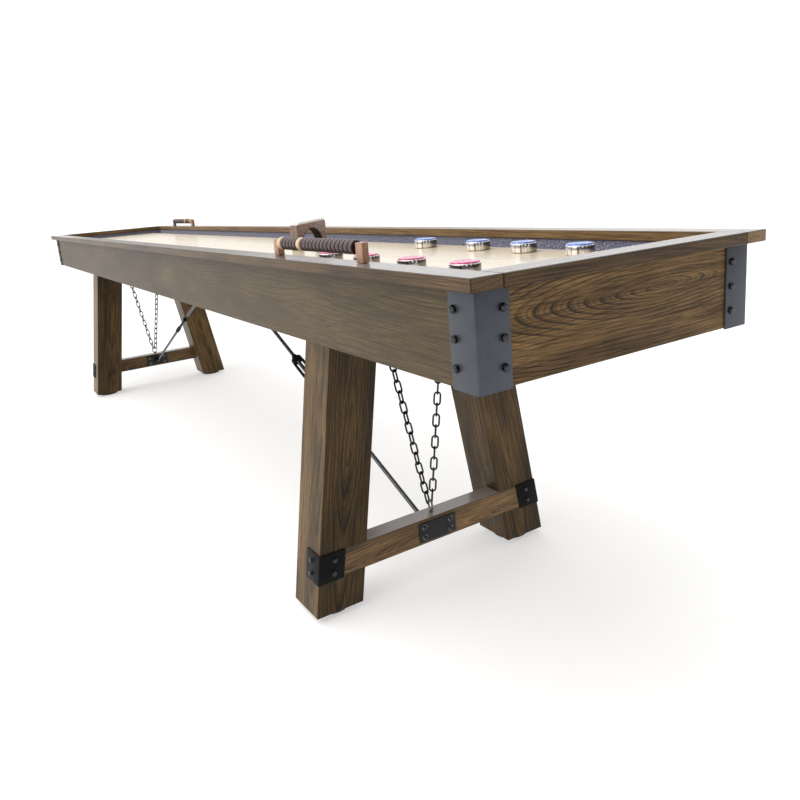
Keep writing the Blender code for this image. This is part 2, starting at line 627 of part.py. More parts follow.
def build_rod_hangers():
    """The clevis under the cabinet floor that both tie rods' heads are pinned to."""
    top = FLOOR_UNDERSIDE_Z - GAP
    half_length, half_width, thickness = HANGER_PLATE
    plate = box("rod_hanger", (-half_length, -half_width, top - thickness), (half_length, half_width, top))
    pieces = []
    for sx in ENDS.values():
        pivot = (sx * ROD_HEAD.x, 0, ROD_HEAD.z)
        pieces += clevis_ears(pivot, (sx * ROD_HEAD.x, 0, top - thickness * 0.47))
    union(plate, pieces)
    set_material(plate, BLACK_STEEL)


def build_turnbuckles():
    """Open body: two side bars between two threaded collars, turning about the rod."""
    half = TURNBUCKLE_LENGTH / 2
    half_width = TURNBUCKLE_BAR_OFFSET + TURNBUCKLE_BAR_RADIUS * 0.6
    half_depth = TURNBUCKLE_COLLAR_HALF_DEPTH
    neck_radius, neck_length = TURNBUCKLE_NECK
    collar_out = half - neck_length
    bar_half = collar_out - TURNBUCKLE_BAR_RADIUS
    middle = ROD_FOOT + ROD_DIRECTION * (TURNBUCKLE_START + half)
    for end, sx in ENDS.items():
        starts = {f"turnbuckle_{end}": -collar_out, "collar": collar_out - TURNBUCKLE_COLLAR}
        body, collar = [box(name, (-half_width, -half_depth, low),
                            (half_width, half_depth, low + TURNBUCKLE_COLLAR), None, TURNBUCKLE_COLLAR_EASE)
                        for name, low in starts.items()]
        bars = [cylinder("side_bar", TURNBUCKLE_BAR_RADIUS, (x, 0, -bar_half), (x, 0, bar_half), 10)
                for x in (-TURNBUCKLE_BAR_OFFSET, TURNBUCKLE_BAR_OFFSET)]
        necks = [cylinder("neck", neck_radius, (0, 0, low), (0, 0, low + 2 * neck_length), 16)
                 for low in (-half, half - 2 * neck_length)]
        union(body, [collar, *bars, *necks])
        cut(body, [cylinder("rod_bore", ROD_RADIUS + GAP, (0, 0, -half - CUT_OVERSHOOT),
                            (0, 0, half + CUT_OVERSHOOT), 12)])
        axis = Vector((sx * ROD_DIRECTION.x, 0, ROD_DIRECTION.z))
        turn = axis.to_track_quat("Z", "Y").to_matrix() @ Matrix.Rotation(TURNBUCKLE_ROLL[end], 3, "Z")
        body.location = (sx * middle.x, 0, middle.z)
        body.rotation_euler = turn.to_euler()
        set_material(body, BLACK_STEEL)


# ---- Pucks, scorers and brush ----------------------------------------------------------------
def build_pucks():
    """Weighted steel bodies with a slightly narrower coloured cap on top."""
    r, h = PUCK_RADIUS, PUCK_HEIGHT
    profile = [(0, h), (r - 0.0030, h), (r - 0.0020, h - 0.0010), (r - 0.0020, h - 0.0026),
               (r, h - 0.0032), (r, 0.0012), (r - 0.0014, 0), (0, 0)]
    for colour, y in PUCK_ROW_Y.items():
        for i, x in enumerate(PUCK_X[colour], 1):
            lathe(f"puck_{colour}_{i}", profile, CHROME, 20, (x, y, PLAYFIELD_TOP_Z + GAP))


def bead_row_profile(count):
    """Bore and rim of a row of rounded discs threaded side by side, from the row's far end down."""
    bore = SCORER_ROD_RADIUS + GAP
    top = count * BEAD_THICKNESS
    groove, edge = BEAD_RADIUS - BEAD_GROOVE, BEAD_THICKNESS * BEAD_EDGE_SHARE
    outer = []
    for i in range(count):
        z = top - i * BEAD_THICKNESS
        outer += [(groove, z), (BEAD_RADIUS, z - edge), (BEAD_RADIUS, z - BEAD_THICKNESS + edge)]
    return [(bore, top), *outer, (groove, 0), (bore, 0)]


def build_scorers():
    base_z = TABLE_HEIGHT + GAP
    rod_z = base_z + SCORER_ROD_HEIGHT
    half = SCORER_LENGTH / 2
    for end, sx in ENDS.items():
        centre_x, y = sx * SCORER_CENTRE_X, -sx * SCORER_Y
        posts = [box("scorer_post", (x, y - POST_DEPTH / 2, base_z),
                     (x + POST_LENGTH, y + POST_DEPTH / 2, base_z + POST_HEIGHT), None, POST_EASE)
                 for x in (centre_x - half, centre_x + half - POST_LENGTH)]
        rod_half = half - SCORER_ROD_INSET
        rod = cylinder("scorer_rod", SCORER_ROD_RADIUS, (centre_x - rod_half, y, rod_z),
                       (centre_x + rod_half, y, rod_z), 12)
        frame = merge_apart(f"scorer_frame_{end}", [rod] + posts)
        set_material(frame, WALNUT)
        inner_low = centre_x - half + POST_LENGTH
        free = SCORER_LENGTH - 2 * POST_LENGTH - (BEADS_OUTER + BEADS_INNER) * BEAD_THICKNESS
        start = inner_low + free / 2
        rows = BEAD_ROWS[end]
        for i, (label, count) in enumerate(rows):
            shift = GAP * (i - (len(rows) - 1) / 2)
            lathe(f"beads_{label}", bead_row_profile(count), BEADWOOD, 8, (start + shift, y, rod_z),
                  (0, pi / 2, 0))
            start += count * BEAD_THICKNESS


def build_brush_block():
    """Two arched boards on a thin core, standing on the playfield."""
    half, low_top, high_top = BLOCK_LENGTH / 2, BLOCK_HEIGHT, BLOCK_HEIGHT + BLOCK_RISE
    steps, radius = 10, BLOCK_ARCH_RADIUS
    arch = [(-radius * cos(pi * i / steps), BLOCK_ARCH_BASE + radius * sin(pi * i / steps))
            for i in range(steps + 1)]
    high_corner = [(half, high_top - BLOCK_HIGH_CORNER),
                   (half - BLOCK_HIGH_CORNER * 0.3, high_top - BLOCK_HIGH_CORNER * 0.3),
                   (half - BLOCK_HIGH_CORNER, high_top)]
    low_corner = [(BLOCK_LOW_CORNER - half, low_top),
                  (BLOCK_LOW_CORNER * 0.3 - half, low_top - BLOCK_LOW_CORNER * 0.3),
                  (-half, low_top - BLOCK_LOW_CORNER)]
    outline = [(-half, 0), (-radius, 0), *arch, (radius, 0), (half, 0), *high_corner, *low_corner]
    turn = Matrix.Rotation(BLOCK_TURN, 4, "Z")
    thickness = 2 * BLOCK_BOARD + BLOCK_CORE
    stand_up = Matrix(((0, 0, 1, 0), (1, 0, 0, 0), (0, 1, 0, 0), (0, 0, 0, 1)))
    block = outline_piece("brush_block", outline, thickness, WALNUT, turn @ stand_up)
    groove = box("groove", (-BLOCK_CORE / 2, -half - CUT_OVERSHOOT, low_top - BLOCK_GROOVE_DEPTH),
                 (BLOCK_CORE / 2, half + CUT_OVERSHOOT, high_top + CUT_OVERSHOOT))
    groove.data.transform(turn)
    cut(block, [groove])
    block.location = (*BLOCK_PLACE, PLAYFIELD_TOP_Z + GAP)


# ---- Build -----------------------------------------------------------------------------------
clear_scene()
TABLE = make_collection("shuffleboard_table")
build_cabinet()
build_gutter()
build_playfield()
build_rails()
build_corner_brackets()
build_legs()
build_stretchers()
build_leg_brackets()
build_plates()
build_feet()
build_eye_bolts()
build_chains()
build_tie_rods()
build_rod_hangers()
build_turnbuckles()
build_pucks()
build_scorers()
build_brush_block()
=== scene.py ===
from math import atan2, cos, pi, sin, tan

import bmesh
import bpy
from mathutils import Matrix, Vector


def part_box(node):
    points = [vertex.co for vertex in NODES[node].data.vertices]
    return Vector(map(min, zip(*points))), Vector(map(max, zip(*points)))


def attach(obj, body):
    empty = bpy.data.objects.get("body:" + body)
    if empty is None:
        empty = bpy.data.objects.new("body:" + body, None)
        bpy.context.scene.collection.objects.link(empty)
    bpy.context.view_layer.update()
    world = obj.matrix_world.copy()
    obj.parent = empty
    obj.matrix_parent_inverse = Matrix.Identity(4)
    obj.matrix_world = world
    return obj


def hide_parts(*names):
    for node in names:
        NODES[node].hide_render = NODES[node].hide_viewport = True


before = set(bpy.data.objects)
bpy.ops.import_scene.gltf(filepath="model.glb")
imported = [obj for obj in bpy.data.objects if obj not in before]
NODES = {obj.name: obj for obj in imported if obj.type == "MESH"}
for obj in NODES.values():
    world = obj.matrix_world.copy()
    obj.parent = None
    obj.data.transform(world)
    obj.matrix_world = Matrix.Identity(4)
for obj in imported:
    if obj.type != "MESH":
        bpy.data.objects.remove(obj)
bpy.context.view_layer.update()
ENDS = {"near": 1, "far": -1}
SIDES = {"back": 1, "front": -1}
CORNERS = {f"{end}_{side}": (sx, sy) for end, sx in ENDS.items() for side, sy in SIDES.items()}
TABLE = "table"
GAP = 0.0003


# ---- Camera, floor and light -------------------------------------------------------------------
def make_camera():
    """A wide lens near the table's front near corner, at about the height of the rails."""
    data = bpy.data.cameras.new("camera")
    camera = bpy.data.objects.new("camera", data)
    bpy.context.scene.collection.objects.link(camera)
    right = Vector((0.54280, 0.83628, -0.07746))
    down = Vector((0.15650, -0.19133, -0.96897))
    ahead = Vector((-0.82515, 0.51384, -0.23474))
    camera.matrix_world = Matrix.Translation((2.5175, -0.8313, 0.8752)) @ Matrix(
        (right, -down, -ahead)).transposed().to_4x4()
    data.sensor_width = 36.0
    data.lens = 32.59
    data.shift_x = -0.0089
    data.shift_y = -0.0485
    data.clip_start = 0.02
    data.clip_end = 200
    bpy.context.scene.camera = camera


def add_light(name, kind, energy, towards, place=(0, 0, 0), **settings):
    data = bpy.data.lights.new(name, kind)
    data.energy = energy
    for key, value in settings.items():
        setattr(data, key, value)
    lamp = bpy.data.objects.new(name, data)
    bpy.context.scene.collection.objects.link(lamp)
    lamp.location = place
    lamp.rotation_euler = Vector(towards).to_track_quat("Z", "Y").to_euler()


class Shade:
    """A node tree being built round one Principled shader."""

    def __init__(self, name, tree=None):
        if tree is None:
            self.material = bpy.data.materials.new(name)
            self.material.use_nodes = True
            tree = self.material.node_tree
            self.shader = tree.nodes["Principled BSDF"]
        self.tree = tree

    def node(self, kind, *values, **settings):
        """Adds a node. The values go to its first sockets, and None leaves a socket alone."""
        made = self.tree.nodes.new("ShaderNode" + kind)
        for key, value in settings.items():
            setattr(made, key, value)
        for socket, value in zip(made.inputs, values):
            self.feed(socket, value)
        return made

    def feed(self, socket, value):
        if isinstance(value, bpy.types.NodeSocket):
            self.tree.links.new(value, socket)
        elif value is not None:
            socket.default_value = value

    def math(self, operation, a, b=None, clamp=False):
        return self.node("Math", a, b, operation=operation, use_clamp=clamp).outputs[0]

    def times(self, a, b, clamp=False):
        return self.math("MULTIPLY", a, b, clamp)

    def vector(self, operation, a, b=None, scale=None):
        made = self.node("VectorMath", a, b, None, scale, operation=operation)
        return made.outputs[1] if operation in ("LENGTH", "DOT_PRODUCT") else made.outputs[0]

    def split(self, vector):
        return self.node("SeparateXYZ", vector).outputs

    def join(self, x, y=0.0):
        return self.node("CombineXYZ", x, y).outputs[0]

    def place(self):
        return self.node("TexCoord").outputs["Object"]

    def mapping(self, vector, rotation=(0, 0, 0), scale=(1, 1, 1)):
        return self.node("Mapping", vector, None, rotation, scale).outputs[0]

    def noise(self, vector, scale, detail=3.0, roughness=0.55, colour=False):
        made = self.node("TexNoise", vector, None, scale, detail, roughness)
        return made.outputs["Color" if colour else "Fac"]

    def streaks(self, vector, scale, detail=3.0, roughness=0.55, colour=False):
        """Noise drawn out by a different scale along each axis."""
        return self.noise(self.mapping(vector, scale=scale), 1.0, detail, roughness, colour)

    def ramp(self, value, stops):
        made = self.node("ValToRGB", value)
        elements = made.color_ramp.elements
        while len(elements) < len(stops):
            elements.new(0.5)
        for element, (position, colour) in zip(elements, stops):
            element.position = position
            element.color = (*colour, 1) if isinstance(colour, tuple) else (colour, colour, colour, 1)
        return made.outputs[0]

    def mix(self, factor, a, b):
        made = self.node("Mix", data_type="RGBA")
        self.feed(made.inputs["Factor"], factor)
        self.feed(made.inputs["A"], (*a, 1) if isinstance(a, tuple) else a)
        self.feed(made.inputs["B"], (*b, 1) if isinstance(b, tuple) else b)
        return made.outputs["Result"]

    def span(self, value, low, high, to_low=0.0, to_high=1.0, smooth=False):
        kind = "SMOOTHSTEP" if smooth else "LINEAR"
        return self.node("MapRange", value, low, high, to_low, to_high,
                         interpolation_type=kind).outputs[0]

    def bump(self, height, strength, distance):
        made = self.node("Bump")
        made.inputs["Strength"].default_value = strength
        made.inputs["Distance"].default_value = distance
        self.feed(made.inputs["Height"], height)
        self.tree.links.new(made.outputs[0], self.shader.inputs["Normal"])

    def set(self, **values):
        """Links sockets to the shader's, and puts plain values on the shader's own sockets."""
        for key, value in values.items():
            self.feed(self.shader.inputs[key.replace("_", " ")], value)


FLOOR_GLOW = 0.47
BACKDROP = 1.02
DARK_FLAGS = 11.0


def make_stage():
    """A glowing pale floor, a white backdrop with dark flags on the near side, and two lights."""
    bpy.ops.mesh.primitive_plane_add(size=160, location=(0, 0, 0))
    floor = bpy.context.object
    floor.name = "floor"
    shade = Shade("floor_paint")
    tone = shade.noise(shade.place(), 0.6, 2.0)
    shade.set(Base_Color=shade.ramp(tone, [(0.3, (0.62, 0.62, 0.62)), (0.7, (0.64, 0.64, 0.64))]),
              Roughness=0.9)
    shade.set(Specular_IOR_Level=0.1, Emission_Color=(1, 1, 1, 1), Emission_Strength=FLOOR_GLOW)
    floor.data.materials.append(shade.material)

    world = bpy.data.worlds.new("studio")
    bpy.context.scene.world = world
    world.use_nodes = True
    sky = Shade("studio", world.node_tree)
    direction = sky.node("TexCoord").outputs["Generated"]
    side = sky.vector("DOT_PRODUCT", direction, (-1.0, 0.0, 0.0))
    lit = sky.span(side, -0.65, 0.20, 0.0, 1.0, True)
    x, y = sky.split(direction)[:2]
    flags = sky.math("SINE", sky.times(sky.math("ARCTAN2", y, x), DARK_FLAGS))
    shaded = sky.span(flags, -0.25, 0.25, 0.05, 0.74, True)
    strength = sky.math("ADD", sky.times(lit, BACKDROP),
                        sky.times(sky.math("SUBTRACT", 1.0, lit), shaded))
    background = world.node_tree.nodes["Background"]
    background.inputs["Color"].default_value = (1, 1, 1, 1)
    seen = sky.times(sky.node("LightPath").outputs["Is Camera Ray"], BACKDROP)
    sky.feed(background.inputs["Strength"], sky.math("MAXIMUM", strength, seen))
    add_light("overhead_light", "SUN", 1.5, (-0.25, -0.45, 1.0), angle=1.2)
    softbox = Vector((0.5, -5.0, 2.2))
    add_light("left_softbox", "AREA", 42, softbox - Vector((0.3, 0.0, 0.5)), softbox, shape="RECTANGLE",
              size=5.5, size_y=2.6, color=(1.0, 0.89, 0.76))
    bpy.context.scene.view_settings.view_transform = "Standard"


# ---- Materials ---------------------------------------------------------------------------------
EDGE_REACH = 0.003


def edge_share(shade, low, high, lean=0.0):
    """0 on a box's faces and 1 along its edges, from the box's own corners."""
    x, y, z = shade.split(shade.place())
    if lean:
        y = shade.math("ADD", shade.math("ABSOLUTE", y), shade.times(z, lean))
    gaps = []
    for value, a, b in zip((x, y, z), low, high):
        centred = shade.math("ABSOLUTE", shade.math("SUBTRACT", value, (a + b) / 2))
        gaps.append(shade.math("SUBTRACT", (b - a) / 2, centred))
    nearest = shade.math("MINIMUM", gaps[0], gaps[1])
    farther = shade.math("MAXIMUM", gaps[0], gaps[1])
    second = shade.math("MAXIMUM", nearest, shade.math("MINIMUM", farther, gaps[2]))
    return shade.span(second, 0.0, EDGE_REACH, 1.0, 0.0, True)


OAK = dict(dark=(0.014, 0.008, 0.004), ring=(0.026, 0.020, 0.015), mid=(0.135, 0.076, 0.030),
           light=(0.330, 0.196, 0.080))
# Painted pale reflection laid on the upward faces of rails and stretchers.
PAINTED_TOP_SHEEN = (0.36, 0.34, 0.33)


def grain_turn(along, across):
    along, across = Vector(along).normalized(), Vector(across).normalized()
    return Matrix((along, across, along.cross(across)))


def wood(name, along, across, centre, tones=OAK, ring=0.0075, stretch=0.16, warp=0.020, depth=0.35,
         figure=0.75, specular=0.25, gloss=0.36, seed=0.0, box=None, lean=0.0, edge=0.55, coat_and_painted_sheen=0.0,
         coat_and_sheen_from=(0.8, 1.65), lit_side=0):
    """Stained open-grain wood. Growth rings close round a centre, drawn out along the grain.

    One amount sets how much a real clear coat and a painted pale reflection cover its upward
    faces, growing between two given distances along the table. A Y sense picks a side painted
    lighter, as painted light.
    """
    shade = Shade(name)
    turn = grain_turn(along, across)
    here = shade.mapping(shade.place(), rotation=tuple(turn.to_euler()))
    seeded = shade.vector("ADD", here, (seed, seed * 0.7, -seed * 1.3))
    swirl = shade.streaks(seeded, (2.6, 11.0, 11.0), 2.0, 0.5, colour=True)
    ripple = shade.streaks(seeded, (18.0, 70.0, 70.0), 2.0, 0.5, colour=True)
    moved = here
    for push, amount in ((swirl, warp * 2), (ripple, warp * 0.10)):
        push = shade.vector("SUBTRACT", push, (0.5, 0.5, 0.5))
        moved = shade.vector("ADD", moved, shade.vector("SCALE", push, scale=amount))
    offset = shade.vector("SUBTRACT", moved, tuple(turn @ Vector(centre)))
    distance = shade.vector("LENGTH", shade.mapping(offset, scale=(stretch, 1.0, depth)))
    pace = shade.streaks(seeded, (1.5, 14.0, 14.0), 1.0)
    turns = shade.math("ADD", shade.times(distance, 1.0 / ring), shade.times(pace, 1.6))
    phase = shade.math("FRACT", turns)
    late = shade.ramp(phase, [
        (0.0, 0.0), (0.56, 0.05), (0.70, 0.55), (0.78, 1.0), (0.88, 0.9), (1.0, 0.0)])
    hair = shade.math("FRACT", shade.times(turns, 3.0))
    hair = shade.ramp(hair, [(0.0, 0.0), (0.50, 0.0), (0.78, 1.0), (1.0, 0.0)])
    late = shade.math("MAXIMUM", late, shade.times(hair, 0.75))
    uneven = shade.streaks(seeded, (6.0, 40.0, 40.0), 3.0)
    late = shade.times(late, shade.span(uneven, 0.40, 0.58, 0.30, 1.0), clamp=True)
    fibre = shade.streaks(seeded, (9.0, 560.0, 560.0), 4.0, 0.7)
    pores = shade.streaks(seeded, (40.0, 800.0, 800.0), 2.0, 0.6)
    pores = shade.span(pores, 0.54, 0.64, 0.0, 1.0)
    cloud = shade.streaks(seeded, (3.0, 14.0, 14.0), 3.0, 0.6)
    base = shade.ramp(cloud, [(0.36, tones["mid"]), (0.62, tones["light"])])
    base = shade.mix(shade.span(fibre, 0.38, 0.56, 0.78, 0.0), base, tones["dark"])
    base = shade.mix(shade.times(late, figure), base, tones["ring"])
    base = shade.mix(shade.times(pores, 0.35), base, tones["dark"])
    if box:
        rim = edge_share(shade, *box, lean=lean)
        base = shade.mix(shade.times(rim, edge), base, tones["dark"])
    rough = shade.span(fibre, 0.3, 0.7, gloss - 0.05, gloss + 0.10)
    shade.set(Specular_IOR_Level=specular)
    # Painted reflection: upward faces are mixed towards pale grey, more so far from the table's middle;
    # the clear coat and smoother finish there are real.
    if coat_and_painted_sheen:
        upward = shade.split(shade.node("NewGeometry").outputs["True Normal"])[2]
        from_middle = shade.math("ABSOLUTE", shade.split(shade.place())[0])
        reach = shade.span(from_middle, *coat_and_sheen_from, 0.25, 1.0, True)
        top = shade.times(shade.span(upward, 0.6, 0.95, 0.0, 1.0), reach)
        base = shade.mix(shade.times(top, coat_and_painted_sheen), base, PAINTED_TOP_SHEEN)
        rough = shade.times(rough, shade.span(top, 0.0, 1.0, 1.0, 0.50))
        shade.feed(shade.shader.inputs["Coat Weight"], shade.span(top, 0.0, 1.0, 0.0, 0.45))
        shade.set(Coat_Roughness=gloss * 0.5)
    # Painted light: faces turned towards the given Y sense are painted up to about twice as light.
    if lit_side:
        sideways = shade.split(shade.node("NewGeometry").outputs["True Normal"])[1]
        painted_side_light = shade.span(sideways, 0.5 * lit_side, 0.9 * lit_side, 1.0, 2.1)
        base = shade.vector("SCALE", base, scale=painted_side_light)
    grain = shade.math("ADD", shade.times(late, -0.5), shade.times(pores, -1.0))
    shade.bump(shade.math("ADD", grain, shade.times(fibre, 0.5)), 0.45, 0.0004)
    shade.set(Base_Color=base, Roughness=rough)
    return shade.material


def steel(name, colour, metallic, roughness, mottle=0.25, scale=55.0, scratch=0.25):
    """Painted or blued steel, softly mottled, with a few fine scratches."""
    shade = Shade(name)
    here = shade.place()
    cloud = shade.noise(here, scale, 4.0, 0.6)
    fine = shade.noise(here, 900.0, 2.0, 0.6)
    lines = shade.noise(shade.mapping(here, rotation=(0.3, 0.5, 0.8), scale=(15, 700, 700)), 1.0, 2.0)
    lines = shade.span(lines, 0.66, 0.72, 0.0, scratch)
    dull = tuple(c * (1 - mottle) for c in colour)
    bright = tuple(min(1.0, c * (1 + mottle)) for c in colour)
    base = shade.ramp(cloud, [(0.30, dull), (0.70, bright)])
    wear_and_highlight = tuple(min(1.0, c * 1.8 + 0.03) for c in colour)
    base = shade.mix(lines, base, wear_and_highlight)
    shade.set(Base_Color=base,
              Roughness=shade.span(cloud, 0.3, 0.7, roughness - 0.06, roughness + 0.08))
    shade.set(Metallic=metallic)
    shade.bump(shade.math("ADD", shade.times(fine, 0.6), shade.times(cloud, 0.8)), 0.12, 0.0003)
    return shade.material


def chrome(name):
    """Turned and polished steel with faint lathe marks round it, and painted reflections on its wall:
    darker upright bands and a brown flank on one side.
    """
    shade = Shade(name)
    here = shade.place()
    marks = shade.streaks(here, (40, 40, 2600), 2.0)
    smudge = shade.noise(here, 90.0, 3.0)
    base = shade.ramp(smudge, [(0.3, (0.80, 0.80, 0.81)), (0.7, (0.93, 0.93, 0.94))])
    x, y, z = shade.split(here)
    bearing = shade.math("ARCTAN2", y, x)
    # Painted reflections: dark upright stripes round the wall and a brown flank on one side of it.
    reflection_bands = shade.noise(shade.join(shade.times(bearing, 2.6)), 1.0, 2.0, 0.7)
    wall = shade.math("LESS_THAN", z, 0.0168)
    reflected_stripes = shade.span(reflection_bands, 0.55, 0.59, 0.0, 0.85, True)
    reflected_flank = shade.span(shade.math("ABSOLUTE", shade.math("SUBTRACT", bearing, 0.45)), 0.45, 0.95, 0.82,
                       0.0)
    base = shade.mix(shade.times(wall, shade.math("MAXIMUM", reflected_stripes, reflected_flank)), base,
                     (0.140, 0.105, 0.080))
    shade.set(Base_Color=base, Roughness=shade.span(smudge, 0.3, 0.7, 0.07, 0.17), Metallic=1.0)
    shade.bump(marks, 0.08, 0.0002)
    return shade.material


def cap_plastic(name, deep, bright):
    """Glossy coloured plastic, with paler generic rings and streaks moulded in its top."""
    shade = Shade(name)
    here = shade.place()
    flat = shade.vector("LENGTH", shade.mapping(here, scale=(1, 1, 0)))
    cloud = shade.noise(here, 160.0, 3.0)
    streak = shade.streaks(here, (60.0, 210.0, 60.0), 3.0, 0.6)
    white = (0.86, 0.88, 0.92)
    rings = shade.ramp(shade.times(flat, 40.0), [
        (0.0, bright), (0.20, bright), (0.25, white), (0.30, white), (0.35, deep), (0.52, deep),
        (0.60, bright), (0.84, bright), (0.92, deep), (1.0, deep)])
    base = shade.mix(shade.span(cloud, 0.3, 0.7, 0.0, 0.35), rings, bright)
    base = shade.mix(shade.span(streak, 0.52, 0.66, 0.0, 0.75), base, white)
    shade.set(Base_Color=base, Roughness=shade.span(cloud, 0.3, 0.7, 0.14, 0.26), Coat_Weight=0.6)
    shade.set(Coat_Roughness=0.08)
    shade.bump(cloud, 0.05, 0.0004)
    return shade.material


def carpet(name):
    """Short dark blue-grey pile, speckled with paler fibres."""
    shade = Shade(name)
    here = shade.place()
    tufts = shade.node("TexVoronoi", here, None, 330.0).outputs["Distance"]
    fleck = shade.noise(here, 260.0, 4.0, 0.75)
    cloud = shade.noise(here, 9.0, 3.0)
    base = shade.ramp(fleck, [
        (0.30, (0.055, 0.058, 0.100)), (0.48, (0.205, 0.210, 0.315)), (0.58, (0.440, 0.445, 0.540)),
        (0.66, (0.85, 0.85, 0.88))])
    base = shade.mix(shade.span(tufts, 0.2, 0.8, 0.0, 0.3), base, (0.050, 0.053, 0.090))
    base = shade.mix(shade.span(cloud, 0.3, 0.7, 0.0, 0.2), base, (0.170, 0.178, 0.260))
    shade.set(Base_Color=base, Roughness=0.95, Sheen_Weight=0.35, Sheen_Roughness=0.5)
    shade.set(Specular_IOR_Level=0.15)
    height = shade.math("ADD", shade.times(tufts, -1.0), fleck)
    shade.bump(height, 0.9, 0.0012)
    return shade.material


MAPLE_STRIP = 0.0339


def maple(name):
    """Pale maple strips under thick clear polish."""
    shade = Shade(name)
    here = shade.place()
    strips = shade.times(shade.split(here)[1], 1 / MAPLE_STRIP)
    row = shade.math("FLOOR", strips)
    joint = shade.math("FRACT", strips)
    seam = shade.math("LESS_THAN", shade.math("MINIMUM", joint, shade.math("SUBTRACT", 1.0, joint)),
                      0.012)
    strip = shade.vector("ADD", here, shade.join(shade.times(row, 3.71), shade.times(row, 1.93)))
    tone = shade.streaks(strip, (0.8, 6.0, 6.0), 2.0)
    fibre = shade.streaks(strip, (7.0, 300.0, 300.0), 4.0, 0.65)
    streak = shade.streaks(strip, (3.0, 55.0, 55.0), 4.0, 0.7)
    base = shade.ramp(tone, [
        (0.30, (0.82, 0.67, 0.46)), (0.52, (0.90, 0.78, 0.58)), (0.72, (0.95, 0.86, 0.69))])
    base = shade.mix(shade.span(fibre, 0.35, 0.7, 0.0, 0.35), base, (0.70, 0.53, 0.33))
    base = shade.mix(shade.span(streak, 0.60, 0.74, 0.0, 0.55), base, (0.52, 0.34, 0.19))
    base = shade.mix(shade.times(seam, 0.45), base, (0.45, 0.30, 0.17))
    shade.set(Base_Color=base, Roughness=shade.span(fibre, 0.3, 0.7, 0.24, 0.34), Coat_Weight=0.6)
    shade.set(Coat_Roughness=0.16)
    shade.bump(fibre, 0.05, 0.0002)
    return shade.material


def plain_wood(name, dark, light, along, gloss=0.35, coat=0.3, painted_shade=None, wear_and_highlight=None):
    """Fine straight-grained wood for small pieces; along gives its scale in each direction.

    Two optional masks built from a place paint shade (dull, near-black wood) and a pale highlight.
    """
    shade = Shade(name)
    here = shade.place()
    streak = shade.streaks(here, along, 4.0, 0.65)
    fine = shade.streaks(here, tuple(a * 3.1 for a in along), 2.0, 0.6)
    base = shade.ramp(streak, [(0.32, dark), (0.66, light)])
    base = shade.mix(shade.span(fine, 0.52, 0.66, 0.0, 0.5), base, tuple(c * 0.45 for c in dark))
    rough = shade.span(streak, 0.3, 0.7, gloss - 0.05, gloss + 0.08)
    shade.set(Coat_Weight=coat)
    # Painted highlight: the mask's share is painted pale.
    if wear_and_highlight:
        base = shade.mix(wear_and_highlight(shade, here), base, (0.90, 0.84, 0.80))
    # Painted shade: the mask's share is painted near black and dull.
    if painted_shade:
        shade_share = painted_shade(shade, here)
        base = shade.mix(shade_share, base, (0.006, 0.003, 0.002))
        rough = shade.math("MAXIMUM", rough, shade_share)
        shade.set(Coat_Weight=shade.span(shade_share, 0.0, 1.0, coat, 0.0))
    shade.set(Base_Color=base, Roughness=rough, Coat_Roughness=0.15)
    shade.bump(fine, 0.2, 0.0002)
    return shade.material


def rubber(name):
    shade = Shade(name)
    here = shade.place()
    grit = shade.noise(here, 700.0, 3.0)
    cloud = shade.noise(here, 45.0, 3.0)
    shade.set(Base_Color=shade.ramp(cloud, [
        (0.3, (0.013, 0.010, 0.009)), (0.7, (0.030, 0.024, 0.021))]),
              Roughness=shade.span(grit, 0.3, 0.7, 0.45, 0.65))
    shade.bump(grit, 0.3, 0.0003)
    return shade.material


# ---- Mesh helpers ------------------------------------------------------------------------------
def finish_piece(name, bm, material, body, replaced=(), angle=0.6, location=(0, 0, 0)):
    mesh = bpy.data.meshes.new(name)
    bmesh.ops.recalc_face_normals(bm, faces=bm.faces)
    bm.to_mesh(mesh)
    bm.free()
    mesh.shade_smooth()
    mesh.set_sharp_from_angle(angle=angle)
    mesh.materials.append(material)
    piece = bpy.data.objects.new(name, mesh)
    bpy.context.scene.collection.objects.link(piece)
    piece.location = location
    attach(piece, body)
    if replaced:
        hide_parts(*replaced)
    return piece


def fitting(name, bm, material, node, angle=0.6):
    """A steel piece that stands still with the table."""
    finish_piece(name, bm, material, TABLE, [node], angle=angle)


def add_box(bm, low, high, ease, segments=2):
    made = bmesh.ops.create_cube(bm, size=1.0)["verts"]
    low, high = Vector(low), Vector(high)
    bmesh.ops.scale(bm, vec=high - low, verts=made)
    bmesh.ops.translate(bm, vec=(low + high) / 2, verts=made)
    edges = list({e for v in made for e in v.link_edges})
    bmesh.ops.bevel(bm, geom=edges, offset=ease, segments=segments, affect="EDGES", profile=0.5)


def bearings(count, start=0.0):
    return [2 * pi * (i + start) / count for i in range(count)]


def add_lathe(bm, profile, segments=48, matrix=Matrix.Identity(4)):
    """Turns a (radius, height) profile about Z."""
    rings = []
    for radius, height in profile:
        if radius < 1e-7:
            rings.append([bm.verts.new(matrix @ Vector((0, 0, height)))])
            continue
        rings.append([bm.verts.new(matrix @ Vector((radius * cos(a), radius * sin(a), height)))
                      for a in bearings(segments)])
    for upper, lower in zip(rings, rings[1:]):
        for i in range(segments):
            j = (i + 1) % segments
            corners = [upper[i % len(upper)], upper[j % len(upper)], lower[j % len(lower)],
                       lower[i % len(lower)]]
            corners = list(dict.fromkeys(corners))
            if len(corners) > 2:
                bm.faces.new(corners)


def join_rings(bm, rings):
    """Quads between each ring of points and the next."""
    faces = []
    for a, b in zip(rings, rings[1:]):
        ahead = [(k + 1) % len(a) for k in range(len(a))]
        faces += [bm.faces.new((a[k], a[j], b[j], b[k])) for k, j in enumerate(ahead)]
    return faces


